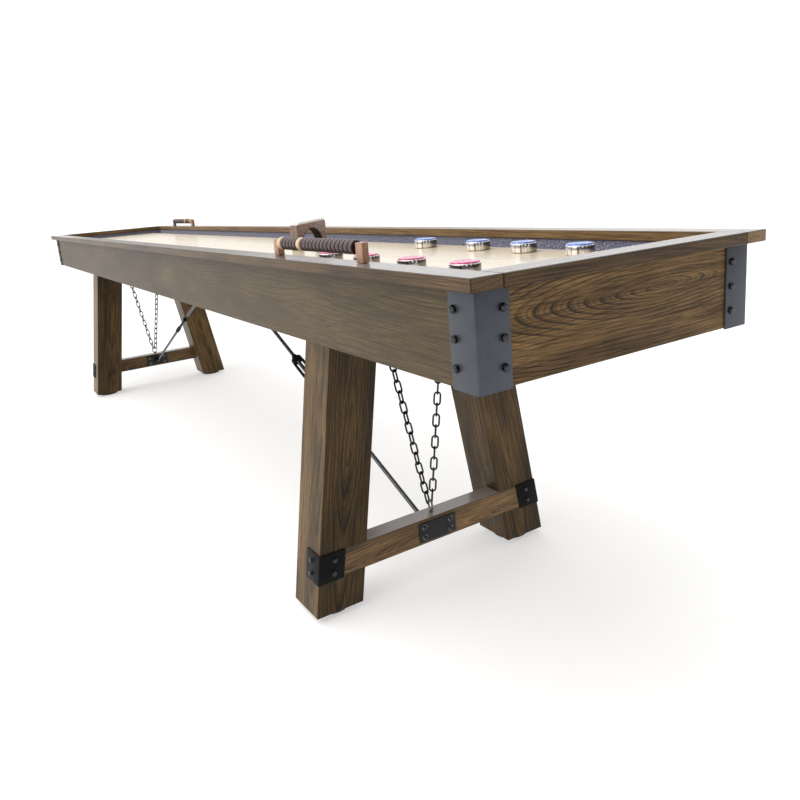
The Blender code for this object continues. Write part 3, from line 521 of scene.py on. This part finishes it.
def add_tube(bm, path, radius, sides=10, closed=False, normal=None):
    """A round wire along a path of points."""
    rings = []
    count = len(path)
    up = Vector(normal) if normal else None
    for i, point in enumerate(path):
        before = path[i - 1] if closed or i else path[i]
        after = path[(i + 1) % count] if closed or i < count - 1 else path[i]
        ahead = (Vector(after) - Vector(before)).normalized()
        if up is None:
            up = ahead.orthogonal().normalized()
        across = ahead.cross(up).normalized()
        up = across.cross(ahead).normalized()
        r = radius[i] if isinstance(radius, list) else radius
        rings.append([bm.verts.new(Vector(point) + (across * cos(a) + up * sin(a)) * r)
                      for a in bearings(sides)])
    join_rings(bm, rings + rings[:1] if closed else rings)
    if not closed:
        bm.faces.new(rings[0])
        bm.faces.new(rings[-1])


def facing(direction):
    """Turns +Z to a direction."""
    return Vector(direction).to_track_quat("Z", "Y").to_matrix().to_4x4()


def add_bolt(bm, start, direction, across=0.0098, rise=0.0052, washer=0.0, spin=0.0, shear=None):
    """A hexagon head with a chamfered, slightly domed top and a rounded washer."""
    base = Matrix.Translation(Vector(start)) @ facing(direction) @ Matrix.Rotation(spin, 4, "Z")
    if shear is not None:
        base = shear @ base
    radius = across / 2 / cos(pi / 6)
    foot = 0.0
    if washer:
        add_lathe(bm, [(0, 0.0013), (washer - 0.0006, 0.0013), (washer, 0.0007), (washer, 0), (0, 0)],
                  32, base)
        foot = 0.0012
    rows = [(1.0, foot), (1.0, foot + (rise - foot) * 0.62), (0.965, foot + (rise - foot) * 0.76),
            (0.80, foot + (rise - foot) * 0.92),
            (0.55, rise - 0.0001), (0.25, rise)]
    rings = []
    for share, height in rows:
        ring = []
        for a in bearings(24):
            hexed = cos(pi / 6) / cos((a + pi / 6) % (pi / 3) - pi / 6)
            blend = 1.0 if share >= 0.96 else max(0.0, (share - 0.80) / 0.16)
            r = radius * share * (hexed * blend + (1 - blend) * 0.93)
            ring.append(bm.verts.new(base @ Vector((r * cos(a), r * sin(a), height))))
        rings.append(ring)
    join_rings(bm, rings)
    bm.faces.new(rings[-1])
    bm.faces.new(rings[0])


def add_angle(bm, outer, flange, thick, low, high, bend, signs, lean=None):
    """A steel angle wrapped round an upright corner, with a rounded bend and broken edges."""
    sx, sy = signs
    ox, oy = outer
    steps = 8
    arc = [(ox - bend + bend * cos(a), oy - bend + bend * sin(a))
           for a in (i * pi / 2 / steps for i in range(steps + 1))]
    inner_bend = max(bend - thick, 0.0002)
    inner = [(ox - bend + inner_bend * cos(a), oy - bend + inner_bend * sin(a))
             for a in (pi / 2 - i * pi / 2 / steps for i in range(steps + 1))]
    if bend < thick:
        inner = [(ox - thick, oy - thick)]
    outline = [(ox - thick, oy - flange), (ox, oy - flange), *arc, (ox - flange, oy),
               (ox - flange, oy - thick), *inner]
    outline = [(sx * x, sy * y) for x, y in outline]
    lower = [bm.verts.new((x, y, low)) for x, y in outline]
    upper = [bm.verts.new((x, y, high)) for x, y in outline]
    faces = join_rings(bm, [lower, upper])
    caps = [bm.faces.new(upper), bm.faces.new(lower)]
    sharp = [e for cap in caps for e in cap.edges]
    ends = [e for face in (faces[0], faces[steps + 3]) for e in face.edges]
    made = set(lower + upper)
    eased = bmesh.ops.bevel(
        bm, geom=list(set(sharp + ends)), offset=0.0005, segments=2, affect="EDGES", profile=0.5,
        clamp_overlap=True)
    made = {v for v in made if v.is_valid} | set(eased["verts"])
    if lean is not None:
        bmesh.ops.transform(bm, matrix=lean, verts=list(made))


make_camera()
make_stage()

# ---- Wooden frame: carried CAD nodes -----------------------------------------------------------
def dress(node, material):
    NODES[node].data.materials.clear()
    NODES[node].data.materials.append(material)


def node_box(node):
    low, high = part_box(node)
    return tuple(low), tuple(high)


X, Y, Z = (1, 0, 0), (0, 1, 0), (0, 0, 1)
SIDE_OAK = dict(dark=(0.024, 0.015, 0.007), ring=(0.034, 0.023, 0.011), mid=(0.080, 0.052, 0.022),
                light=(0.136, 0.094, 0.040))
RAIL_OAK = dict(dark=(0.014, 0.008, 0.004), ring=(0.020, 0.013, 0.007), mid=(0.082, 0.046, 0.018),
                light=(0.165, 0.097, 0.040))
INNER_RAIL_OAK = dict(dark=(0.060, 0.030, 0.015), ring=(0.075, 0.040, 0.020), mid=(0.270, 0.160, 0.064),
                      light=(0.410, 0.262, 0.112))
LEG_OAK = dict(dark=(0.010, 0.006, 0.003), ring=(0.012, 0.008, 0.004), mid=(0.054, 0.032, 0.011),
               light=(0.155, 0.092, 0.034))
# Painted light and shade: each leg's oak is scaled darker or lighter by how much light it gets, darkest
# for the near front leg in the cabinet's shade.
LEG_PAINTED_LIGHT = {"near_front": 0.78, "near_back": 1.15, "far_front": 0.85, "far_back": 1.45}


def dress_cabinet():
    for side, sy in SIDES.items():
        dress(f"side_board_{side}", wood(
            f"side_board_oak_{side}", X, Z, (0.9, sy * 0.2825, 0.585), SIDE_OAK, ring=0.010,
            stretch=0.05, warp=0.030,
            figure=0.65, specular=0.24, gloss=0.42, seed=3.1 * sy, box=node_box(f"side_board_{side}"),
            edge=0.4))
        dress(f"long_rail_{side}", wood(
            f"long_rail_oak_{side}", X, Z, (0.2, sy * 0.27, 0.56),
            RAIL_OAK if sy < 0 else INNER_RAIL_OAK, ring=0.009, stretch=0.03, warp=0.024,
            depth=0.8, figure=0.6, specular=0.22, gloss=0.34, seed=1.7 * sy,
            box=node_box(f"long_rail_{side}"), edge=0.8, coat_and_painted_sheen=0.6))
    for end, sx in ENDS.items():
        dress(f"end_board_{end}", wood(
            f"end_board_oak_{end}", Y, Z, (sx * 1.80, sx * 0.075, 0.700), ring=0.0056, stretch=0.17,
            warp=0.015, figure=0.95, specular=0.10, gloss=0.38, seed=0.4 if sx > 0 else 5.3,
            box=node_box(f"end_board_{end}"), edge=0.4))
        dress(f"end_rail_{end}", wood(
            f"end_rail_oak_{end}", Y, Z, (sx * 1.80, -0.32, 0.69),
            RAIL_OAK if sx > 0 else INNER_RAIL_OAK, ring=0.0065, stretch=0.10, warp=0.020,
            figure=0.7, specular=0.18, gloss=0.34, seed=2.2 * sx, box=node_box(f"end_rail_{end}"),
            edge=0.8, coat_and_painted_sheen=0.6))
    dress("cabinet_floor",
          plain_wood("floor_ply", (0.20, 0.13, 0.075), (0.36, 0.25, 0.15), (4.0, 90.0, 90.0), 0.6, 0.0))
    dress("gutter_tray", carpet("gutter_carpet"))
    dress("playfield", maple("playfield_maple"))


LEG_SPLAY = 0.164
LEG_FOOT_Y = 0.3155
LEG_BOTTOM_Z = 0.012
LEG_SIZE = 0.111
LEG_OUTWARD_X = 1.2554
STRETCHER_DEPTH = 0.0448


def dress_legs():
    for corner, (sx, sy) in CORNERS.items():
        along = (0, -sy * sin(LEG_SPLAY), cos(LEG_SPLAY))
        across = (0, cos(LEG_SPLAY), sy * sin(LEG_SPLAY))
        low, high = node_box(f"leg_{corner}")
        base = LEG_FOOT_Y + LEG_BOTTOM_Z * tan(LEG_SPLAY)
        box = ((low[0], base - LEG_SIZE, low[2]), (high[0], base, high[2]))
        # Painted light: the leg's tones are scaled by its painted brightness.
        tones = {key: tuple(c * LEG_PAINTED_LIGHT[corner] for c in tone) for key, tone in LEG_OAK.items()}
        dress(f"leg_{corner}", wood(
            f"leg_oak_{corner}", along, across, (sx * 1.23, sy * 0.19, 0.42), tones, ring=0.0062,
            stretch=0.07, warp=0.014,
            depth=0.9, figure=0.8, specular=0.14, gloss=0.32, seed=0.9 + 1.3 * sx + 2.1 * sy, box=box,
            lean=tan(LEG_SPLAY), edge=0.6, lit_side=sy))
    for end, sx in ENDS.items():
        dress(f"stretcher_{end}", wood(
            f"stretcher_oak_{end}", Y, Z, (sx * 1.25, 0.30, 0.10), ring=0.0052, stretch=0.08,
            warp=0.012,
            figure=0.8, specular=0.22, gloss=0.34, seed=4.4 * sx, box=node_box(f"stretcher_{end}"),
            edge=0.6, coat_and_painted_sheen=1.0, coat_and_sheen_from=(0.2, 0.6)))


# ---- Steel fittings ----------------------------------------------------------------------------
BRACKET_STEEL = steel("bracket_blue_steel", (0.058, 0.065, 0.079), 0.55, 0.42, 0.16, 40.0, 0.15)
BLACK_STEEL = steel("blackened_steel", (0.011, 0.012, 0.014), 0.40, 0.46, 0.35, 120.0, 0.25)
STRAP_STEEL = steel("strap_black_steel", (0.004, 0.0043, 0.0047), 0.20, 0.50, 0.35, 120.0, 0.08)
STRAP_STEEL.node_tree.nodes["Principled BSDF"].inputs["Specular IOR Level"].default_value = 0.12
BOLT_STEEL = steel("bolt_steel", (0.048, 0.048, 0.052), 0.9, 0.16, 0.30, 300.0, 0.2)
CHAIN_STEEL = steel("chain_steel", (0.030, 0.032, 0.034), 0.95, 0.30, 0.35, 160.0, 0.2)
ROD_STEEL = steel("rod_steel", (0.090, 0.094, 0.098), 0.95, 0.20, 0.30, 90.0, 0.3)
WASHER_STEEL = steel("washer_steel", (0.22, 0.23, 0.23), 0.9, 0.34, 0.25, 300.0, 0.2)
RIM_X = 1.8098
RIM_Y = 0.2858
BRACKET_BOLT_DROPS = (0.027, 0.067, 0.107)
BRACKET_BOLT_INSET = 0.045


def build_corner_brackets():
    for corner, (sx, sy) in CORNERS.items():
        node = f"corner_bracket_{corner}"
        low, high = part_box(node)
        bm = bmesh.new()
        add_angle(bm, (RIM_X, RIM_Y), 0.057, 0.003, low.z, high.z, 0.0036, (sx, sy))
        finish_piece(f"bracket_{corner}", bm, BRACKET_STEEL, TABLE, [node])
        bm = bmesh.new()
        for i, drop in enumerate(BRACKET_BOLT_DROPS):
            z = high.z - drop
            add_bolt(bm, (sx * RIM_X, sy * (RIM_Y - BRACKET_BOLT_INSET), z), (sx, 0, 0), across=0.0104,
                     spin=0.4 * i)
            add_bolt(bm, (sx * (RIM_X - BRACKET_BOLT_INSET), sy * RIM_Y, z), (0, sy, 0), across=0.0104,
                     spin=0.7 * i)
        fitting(f"bracket_bolts_{corner}", bm, BOLT_STEEL, node, angle=0.45)


def lean_matrix(sy):
    lean = Matrix.Identity(4)
    lean[1][2] = -sy * tan(LEG_SPLAY)
    lean[1][3] = sy * LEG_BOTTOM_Z * tan(LEG_SPLAY)
    return lean


STRAP_THICKNESS = 0.0025
STRAP_LOW = 0.0868
STRAP_HEIGHT = 0.0628
STRAP_BOLT_INSET = 0.0355


def build_leg_brackets():
    outer_x = LEG_OUTWARD_X + GAP + STRAP_THICKNESS
    outer_y = LEG_FOOT_Y + GAP + STRAP_THICKNESS
    for corner, (sx, sy) in CORNERS.items():
        node = f"leg_bracket_{corner}"
        lean = lean_matrix(sy)
        bm = bmesh.new()
        add_angle(bm, (outer_x, outer_y), 0.061, STRAP_THICKNESS, STRAP_LOW, STRAP_LOW + STRAP_HEIGHT,
                  0.0030, (sx, sy), lean)
        fitting(f"strap_{corner}", bm, STRAP_STEEL, node)
        bm = bmesh.new()
        for i, share in enumerate((0.27, 0.73)):
            z = STRAP_LOW + STRAP_HEIGHT * share
            add_bolt(bm, (sx * outer_x, sy * (outer_y - STRAP_BOLT_INSET), z), (sx, 0, 0), spin=0.5 * i,
                     shear=lean, washer=0.0058)
            add_bolt(bm, (sx * (outer_x - STRAP_BOLT_INSET), sy * outer_y, z), (0, sy, 0), spin=0.3 * i,
                     shear=lean, washer=0.0058)
        fitting(f"strap_bolts_{corner}", bm, BOLT_STEEL, node, angle=0.45)


PLATE_Z = 0.118
CLEVIS_GAP = 0.0124
ROD_FOOT = Vector((1.1956, 0, PLATE_Z))
ROD_HEAD = Vector((0.060, 0, 0.629))
ROD_AXIS = (ROD_HEAD - ROD_FOOT).normalized()


def add_ears(bm, pivot, back, half_span, mirror):
    """Two round-ended clevis ears and their headed pin."""
    pivot, back = Vector(pivot), Vector(back)
    reach = (back - pivot).length
    turn = atan2((back - pivot).z, (back - pivot).x)
    radius, thick = 0.0090, 0.0030
    for side in (-1, 1):
        outline = [(radius * cos(a), radius * sin(a))
                   for a in (pi / 2 + i * pi / 20 for i in range(21))]
        outline += [(reach, -radius), (reach, radius)]
        y0 = side * CLEVIS_GAP / 2
        rows = []
        for y in (y0, y0 + side * thick):
            row = []
            for x, z in outline:
                u, v = x * cos(turn) - z * sin(turn), x * sin(turn) + z * cos(turn)
                row.append(bm.verts.new((mirror * (pivot.x + u), y, pivot.z + v)))
            rows.append(row)
        join_rings(bm, rows)
        bm.faces.new(rows[0])
        bm.faces.new(rows[1])
    place = Matrix.Translation((mirror * pivot.x, 0, pivot.z)) @ Matrix.Rotation(pi / 2, 4, "X")
    s, r = half_span, 0.0035
    add_lathe(bm, [(0, s), (r * 1.5, s), (r * 1.5 + 0.0003, s - 0.0004), (r * 1.5 + 0.0003, s - 0.0016),
                   (r, s - 0.0017),
                   (r, -s + 0.0005), (r - 0.0005, -s), (0, -s)], 24, place)


def build_stretcher_plates():
    for end, sx in ENDS.items():
        for label, face_x, out in (
                ("outward", LEG_OUTWARD_X, 1), ("inward", LEG_OUTWARD_X - STRETCHER_DEPTH, -1)):
            node = f"stretcher_plate_{label}_{end}"
            xs = sorted((sx * (face_x + out * GAP), sx * (face_x + out * (GAP + STRAP_THICKNESS))))
            bm = bmesh.new()
            add_box(bm, (xs[0], -0.050, PLATE_Z - 0.02275), (xs[1], 0.050, PLATE_Z + 0.02275), 0.0006)
            if label == "inward":
                add_ears(bm, ROD_FOOT, (face_x - GAP - 0.001, 0, PLATE_Z), 0.0125, sx)
            fitting(f"plate_{label}_{end}", bm, BLACK_STEEL, node, angle=0.5)
            heads, rings = bmesh.new(), bmesh.new()
            for i, (y, z) in enumerate((
                    (-0.035, -0.0122), (-0.035, 0.0122), (0.035, -0.0122), (0.035, 0.0122))):
                start = Vector((sx * (face_x + out * (GAP + STRAP_THICKNESS)), y, PLATE_Z + z))
                axis = Vector((sx * out, 0, 0))
                add_bolt(heads, start + axis * 0.0011, axis, across=0.0088, rise=0.0041, spin=0.6 * i)
                add_lathe(rings, [(0, 0.0012), (0.0060, 0.0012), (0.0066, 0.0007), (0.0066, 0), (0, 0)],
                          32, Matrix.Translation(start) @ facing(axis))
            fitting(f"plate_bolts_{label}_{end}", heads, BOLT_STEEL, node, angle=0.45)
            fitting(f"plate_washers_{label}_{end}", rings, WASHER_STEEL, node, angle=0.5)


def build_feet():
    pad = rubber("foot_rubber")
    for corner in CORNERS:
        node = f"levelling_foot_{corner}"
        low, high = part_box(node)
        centre = (low + high) / 2
        r, t = 0.043, LEG_BOTTOM_Z - GAP
        bm = bmesh.new()
        add_lathe(bm, [(0, high.z), (0.0052, high.z), (0.006, high.z - 0.0008), (0.006, t + 0.0001),
                       (r - 0.0040, t), (r - 0.0012, t - 0.0010),
                       (r - 0.0002, t - 0.0030), (r, t - 0.0050), (r, 0.0026), (r - 0.0008, 0.0010),
                       (r - 0.0026, 0.0), (0, 0)], 64)
        finish_piece(f"foot_{corner}", bm, pad, node, [node],
                     location=(centre.x, centre.y, 0))


# ---- Eye bolts, chains and tie rods ------------------------------------------------------------
STRETCHER_X = LEG_OUTWARD_X - STRETCHER_DEPTH / 2
STRETCHER_TOP = 0.1484
CABINET_UNDERSIDE_Z = 0.645
EYE_RADIUS = 0.0118
EYE_WIRE = 0.0023
CHAIN_LINKS = 19


def build_eye_bolts():
    for end, sx in ENDS.items():
        turn = 1.36 if end == "near" else 0.0
        ring_z = STRETCHER_TOP + GAP + 0.0030 + EYE_RADIUS + EYE_WIRE
        bm = bmesh.new()
        across = Vector((-sin(turn), cos(turn), 0))
        ring = [Vector((sx * STRETCHER_X, 0,
                        ring_z)) + (across * cos(a) + Vector((0, 0, 1)) * sin(a)) * EYE_RADIUS
                for a in bearings(40)]
        add_tube(bm, ring, EYE_WIRE, 12, closed=True, normal=(cos(turn), sin(turn), 0))
        base = Matrix.Translation((sx * STRETCHER_X, 0, 0))
        add_lathe(bm, [(0, ring_z - EYE_RADIUS), (0.0022, ring_z - EYE_RADIUS),
                       (0.0026, STRETCHER_TOP + 0.0045), (0.0023, STRETCHER_TOP + 0.0028),
                       (0.0023, 0.1264), (0, 0.1264)], 20, base)
        add_lathe(bm, [(0, STRETCHER_TOP + 0.0028), (0.0048, STRETCHER_TOP + 0.0028),
                       (0.0055, STRETCHER_TOP + 0.0022),
                       (0.0055, STRETCHER_TOP + GAP), (0, STRETCHER_TOP + GAP)], 28, base)
        fitting(f"eye_{end}", bm, WASHER_STEEL, f"eye_bolt_{end}")


def build_chains():
    wire, width = 0.0021, 0.0180
    for corner, (sx, sy) in CORNERS.items():
        top_z = CABINET_UNDERSIDE_Z - GAP
        head = Vector((sx * (STRETCHER_X - 0.016), sy * 0.0850, top_z - 0.0050))
        foot = Vector((sx * STRETCHER_X, sy * 0.0052, 0.1738))
        down = foot - head
        pitch = down.length / CHAIN_LINKS
        turn = down.to_track_quat("X", "Z").to_matrix().to_4x4()
        bend = (width - 2 * wire) / 2
        straight = (pitch + 2 * wire) / 2 - bend
        outline = [Vector((straight + bend * sin(a), bend * cos(a), 0))
                   for a in (pi * i / 10 for i in range(11))]
        outline += [Vector((-straight - bend * sin(a), -bend * cos(a), 0))
                    for a in (pi * i / 10 for i in range(11))]
        bm = bmesh.new()
        for i in range(CHAIN_LINKS):
            middle = Matrix.Translation(head + down * ((i + 0.5) / CHAIN_LINKS))
            place = middle @ turn @ Matrix.Rotation(pi / 4 + i * pi / 2, 4, "X")
            add_tube(bm, [place @ p for p in outline], wire, 10, closed=True,
                     normal=place.to_3x3() @ Vector((0, 0, 1)))
        add_lathe(bm, [(0, top_z), (0.011, top_z), (0.011, top_z - 0.0022), (0.0102, top_z - 0.003),
                       (0, top_z - 0.003)], 28,
                  Matrix.Translation((head.x, head.y, 0)))
        hook = [Vector((head.x + 0.0075 * cos(a), head.y, top_z - 0.0028 + 0.0075 * sin(a)))
                for a in (-pi * i / 14 for i in range(15))]
        add_tube(bm, hook, 0.0018, 10, normal=(0, 1, 0))
        fitting(f"chain_links_{corner}", bm, CHAIN_STEEL, f"chain_{corner}")


def build_tie_rods():
    radius, pitch = 0.0055, 0.00175
    length = (ROD_HEAD - ROD_FOOT).length
    for end, sx in ENDS.items():
        for label, pivot, ahead, reach, thread in (("lower", ROD_FOOT, ROD_AXIS, 0.597, 0.100),
                                                   ("upper", ROD_HEAD, -ROD_AXIS, length - 0.623,
                                                    0.100)):
            pivot = Vector((sx * pivot.x, 0, pivot.z))
            ahead = Vector((sx * ahead.x, 0, ahead.z))
            profile = [(0, 0.0055), (radius, 0.0055), (radius, reach - thread)]
            turns = int(thread / pitch) - 1
            for i in range(turns):
                z = reach - thread + i * pitch
                profile += [(radius, z + pitch * 0.12), (radius - 0.0008, z + pitch * 0.5),
                            (radius, z + pitch * 0.88)]
            profile += [(radius, reach - 0.0012), (radius - 0.0009, reach), (0, reach)]
            bm = bmesh.new()
            add_lathe(bm, profile, 20, Matrix.Translation(pivot) @ facing(ahead))
            around = Matrix.Translation(pivot) @ Matrix.Rotation(pi / 2, 4, "X")
            half, eye, hole = CLEVIS_GAP / 2 - GAP, 0.0078, 0.0038
            rim = [(eye - 0.0006, half), (eye, half - 0.0006), (eye, -half + 0.0006),
                   (eye - 0.0006, -half), (hole, -half), (hole, half)]
            add_lathe(bm, rim + rim[:1], 32, around)
            fitting(f"rod_{label}_{end}", bm, ROD_STEEL, f"tie_rod_{label}_{end}", angle=0.9)
    dress("rod_hanger", BLACK_STEEL)


TURNBUCKLE_ROLL = {"near": -0.59, "far": 0.79}
TURNBUCKLE_START = 0.512


def squared(share):
    """Bows a circle's share out towards a rounded square."""
    return abs(share) ** 0.72 * (1 if share >= 0 else -1)


def build_turnbuckles():
    half, offset, neck = 0.098, 0.0130, 0.010
    middle = ROD_FOOT + ROD_AXIS * (TURNBUCKLE_START + half)
    corners = bearings(32, 0.5)
    for end, sx in ENDS.items():
        node = f"turnbuckle_{end}"
        axis = Vector((sx * ROD_AXIS.x, 0, ROD_AXIS.z))
        bm = bmesh.new()
        for side in (-1, 1):
            path, sizes = [], []
            for i in range(41):
                t = i / 40 * 2 - 1
                path.append(Vector((side * (offset - 0.0022 * max(0.0, (abs(t) - 0.72) / 0.28) ** 2), 0,
                                    t * (half - neck - 0.004))))
                sizes.append(0.0042 + 0.0014 * max(0.0, (abs(t) - 0.80) / 0.20) ** 2)
            add_tube(bm, path, sizes, 14, normal=(0, 1, 0))
            low, high = sorted((side * (half - neck - 0.020), side * (half - neck)))
            bore = 0.0058
            rows = []
            for z, inset in ((low, 0.0016), (low + 0.0014, 0.0003), (low + 0.004, 0.0),
                             (high - 0.004, 0.0), (high - 0.0014, 0.0003), (high, 0.0016)):
                rows.append([bm.verts.new((
                    (0.0153 - inset) * squared(cos(a)), (0.0085 - inset * 0.6) * squared(sin(a)), z))
                             for a in corners])
            holes = [[bm.verts.new((bore * cos(a), bore * sin(a), z)) for a in corners]
                     for z in (high, low)]
            join_rings(bm, rows + holes + rows[:1])
            low, high = sorted((side * (half - neck - 0.002), side * half))
            add_lathe(bm, [(bore, high), (0.0078, high), (0.0085, high - 0.0007),
                           (0.0085, low + 0.0007), (0.0078, low),
                           (bore, low), (bore, high)], 32)
        piece = finish_piece(
            f"turnbuckle_body_{end}", bm, STRAP_STEEL, node, [node], angle=0.7)
        piece.matrix_world = Matrix.Translation((sx * middle.x, 0, middle.z)) @ (
            axis.to_track_quat("Z", "Y").to_matrix() @ Matrix.Rotation(
                TURNBUCKLE_ROLL[end], 3, "Z")).to_4x4()


# ---- Pucks, scorers and arched block -----------------------------------------------------------
def build_pucks():
    body_steel = chrome("puck_steel")
    caps = {"blue": cap_plastic("cap_blue", (0.060, 0.150, 0.66), (0.27, 0.44, 0.88)),
            "red": cap_plastic("cap_red", (0.72, 0.045, 0.210), (0.90, 0.28, 0.47))}
    r, h = 0.0265, 0.0212
    steel_profile = [(0, 0.0176), (r - 0.0022, 0.0176), (r - 0.0016, 0.0183), (r - 0.0009, 0.0184),
                     (r - 0.0002, 0.0179), (r, 0.0172),
                     (r, 0.0024), (r - 0.0004, 0.0012), (r - 0.0014, 0.0003), (r - 0.0024, 0), (0, 0)]
    cap_profile = [(0, h - 0.0007), (r - 0.0076, h - 0.0007), (r - 0.0069, h - 0.0001), (r - 0.0060, h),
                   (r - 0.0034, h),
                   (r - 0.0025, h - 0.0005), (r - 0.0020, h - 0.0014), (r - 0.0020, 0.0178),
                   (0, 0.0178)]
    for colour, cap in caps.items():
        for i in range(4):
            node = f"puck_{colour}_{i + 1}"
            low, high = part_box(node)
            place = ((low.x + high.x) / 2, (low.y + high.y) / 2, low.z)
            for label, profile, material in (
                    ("steel", steel_profile, body_steel), ("cap", cap_profile, cap)):
                bm = bmesh.new()
                add_lathe(bm, profile, 72)
                finish_piece(f"{node}_{label}", bm, material, node, [node], location=place,
                             angle=0.8)


def groove_shade_mask(shade, here):
    """Painted shade in the narrow gaps between the beads of a row, round its rod."""
    return shade.span(shade.vector("LENGTH", shade.mapping(here, scale=(0, 1, 1))), 0.0098, 0.0116, 1.0,
                      0.0)


POST_WIDTH = 0.021
SCORER_ROD_HEIGHT = 0.0245


def build_scorers():
    post_wood = plain_wood(
        "post_walnut", (0.300, 0.150, 0.085), (0.500, 0.290, 0.175), (220.0, 220.0, 24.0), 0.34, 0.2)
    dark = plain_wood("bead_dark", (0.034, 0.014, 0.013), (0.105, 0.050, 0.048), (90.0, 160.0, 160.0),
                      0.30, 0.2, painted_shade=groove_shade_mask)
    pale = plain_wood("bead_boxwood", (0.68, 0.46, 0.21), (0.84, 0.63, 0.34), (90.0, 160.0, 160.0),
                      0.28, 0.6)
    to_x = Matrix.Rotation(pi / 2, 4, "Y")
    for end in ENDS:
        node = f"scorer_frame_{end}"
        low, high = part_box(node)
        y = (low.y + high.y) / 2
        rod_z = low.z + SCORER_ROD_HEIGHT
        bm = bmesh.new()
        for a in (low.x, high.x - POST_WIDTH):
            add_box(bm, (a, low.y, low.z), (a + POST_WIDTH, high.y, high.z), 0.0016, segments=3)
        finish_piece(f"posts_{end}", bm, post_wood, TABLE, [node])
        bm = bmesh.new()
        span = high.x - low.x - 0.008
        add_lathe(bm, [(0, span), (0.0025, span), (0.0025, 0), (0, 0)], 20,
                  Matrix.Translation((low.x + 0.004, y, rod_z)) @ to_x)
        finish_piece(f"scorer_rod_{end}", bm, ROD_STEEL, TABLE, [node])
    rows = {"near_outer": (6, (0,)), "near_inner": (15, (0,)), "far": (21, (14, 20))}
    for label, (count, yellow) in rows.items():
        node = f"beads_{label}"
        low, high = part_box(node)
        y, rod_z = (low.y + high.y) / 2, (low.z + high.z) / 2
        step = (high.x - low.x) / count
        rim, face, bore = 0.0122, 0.0056, 0.0028
        w = step - 0.0003
        arc = [(face + (rim - face) * abs(sin(a)) ** 0.62, w / 2 + w / 2 * cos(a))
               for a in (pi * k / 16 for k in range(17))]
        profile = [(bore, w), *arc, (bore, 0), (bore, w)]
        for tone, material in (("dark", dark), ("pale", pale)):
            bm = bmesh.new()
            for i in range(count):
                if (i in yellow) == (tone == "pale"):
                    add_lathe(bm, profile, 40, Matrix.Translation((i * step, 0, 0)) @ to_x)
            finish_piece(f"{node}_{tone}", bm, material, node, [node],
                         location=(low.x, y, rod_z), angle=0.9)


BLOCK_LENGTH = 0.113
BLOCK_HEIGHT = 0.072
BLOCK_RISE = 0.006
BLOCK_BOARD = 0.0118
BLOCK_CORE = 0.0040
BLOCK_PLACE = (0.6754, 0.0311)
BLOCK_TURN = 0.357
BLOCK_ARCH_RADIUS = 0.037
BLOCK_ARCH_BASE = 0.017


def block_length_and_height(shade, here):
    across = shade.vector("DOT_PRODUCT", here, (-sin(BLOCK_TURN), cos(BLOCK_TURN), 0.0))
    return across, shade.split(here)[2]


def arch_shade_mask(shade, here):
    """Painted shade inside the arch."""
    across, height = block_length_and_height(shade, here)
    from_axis = shade.vector(
        "LENGTH", shade.join(across, shade.math("SUBTRACT", height, BLOCK_ARCH_BASE)))
    return shade.span(from_axis, BLOCK_ARCH_RADIUS + 0.0012, BLOCK_ARCH_RADIUS + 0.0020, 1.0, 0.0)


def top_edge_highlight_mask(shade, here):
    """A painted highlight: a pale edge along the boards' sloping tops."""
    across, height = block_length_and_height(shade, here)
    top = shade.span(across, -BLOCK_LENGTH / 2, BLOCK_LENGTH / 2, BLOCK_HEIGHT,
                     BLOCK_HEIGHT + BLOCK_RISE)
    return shade.span(shade.math("SUBTRACT", top, height), 0.0048, 0.0062, 1.0, 0.0)


def build_block():
    """Two arched boards on a thin core, with rounded edges."""
    board = plain_wood("block_walnut", (0.185, 0.115, 0.092), (0.350, 0.245, 0.200),
                       (130.0, 12.0, 130.0), 0.30, 0.3,
                       painted_shade=arch_shade_mask, wear_and_highlight=top_edge_highlight_mask)
    half, top, rise, radius = BLOCK_LENGTH / 2, BLOCK_HEIGHT, BLOCK_RISE, BLOCK_ARCH_RADIUS
    steps = 24
    arch = [(-radius * cos(pi * i / steps), BLOCK_ARCH_BASE + radius * sin(pi * i / steps))
            for i in range(steps + 1)]
    rounded = [(half - 0.010 + 0.010 * cos(a), top + rise - 0.010 + 0.010 * sin(a))
               for a in (pi / 2 * i / 6 for i in range(7))]
    rounded += [(-half + 0.012 - 0.012 * sin(a), top - 0.012 + 0.012 * cos(a))
                for a in (pi / 2 * i / 6 for i in range(7))]
    outline = [(-half, 0), (-radius, 0), *arch, (radius, 0), (half, 0), *rounded]
    place = (*BLOCK_PLACE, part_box("brush_block")[0].z)
    turn = Matrix.Rotation(BLOCK_TURN, 4, "Z")
    bm = bmesh.new()
    depth = BLOCK_BOARD + BLOCK_CORE / 2
    for x0, x1, drop in (
            (-depth, -BLOCK_CORE / 2, 0.0), (BLOCK_CORE / 2, depth, 0.0),
            (-BLOCK_CORE / 2, BLOCK_CORE / 2, 0.004)):
        points = [(y, min(z, top - drop) if drop else z) for y, z in outline]
        back = [bm.verts.new((x0, y, z)) for y, z in points]
        front = [bm.verts.new((x1, y, z)) for y, z in points]
        join_rings(bm, [back, front])
        caps = [bm.faces.new(back), bm.faces.new(front)]
        if not drop:
            bmesh.ops.bevel(bm, geom=[e for cap in caps for e in cap.edges], offset=0.0020, segments=4,
                            affect="EDGES", profile=0.5, clamp_overlap=True)
    bmesh.ops.transform(bm, matrix=turn, verts=bm.verts)
    finish_piece("arched_block", bm, board, "brush_block", ["brush_block"], location=place,
                 angle=0.7)


dress_cabinet()
dress_legs()
build_corner_brackets()
build_leg_brackets()
build_stretcher_plates()
build_feet()
build_eye_bolts()
build_chains()
build_tie_rods()
build_turnbuckles()
build_pucks()
build_scorers()
build_block()
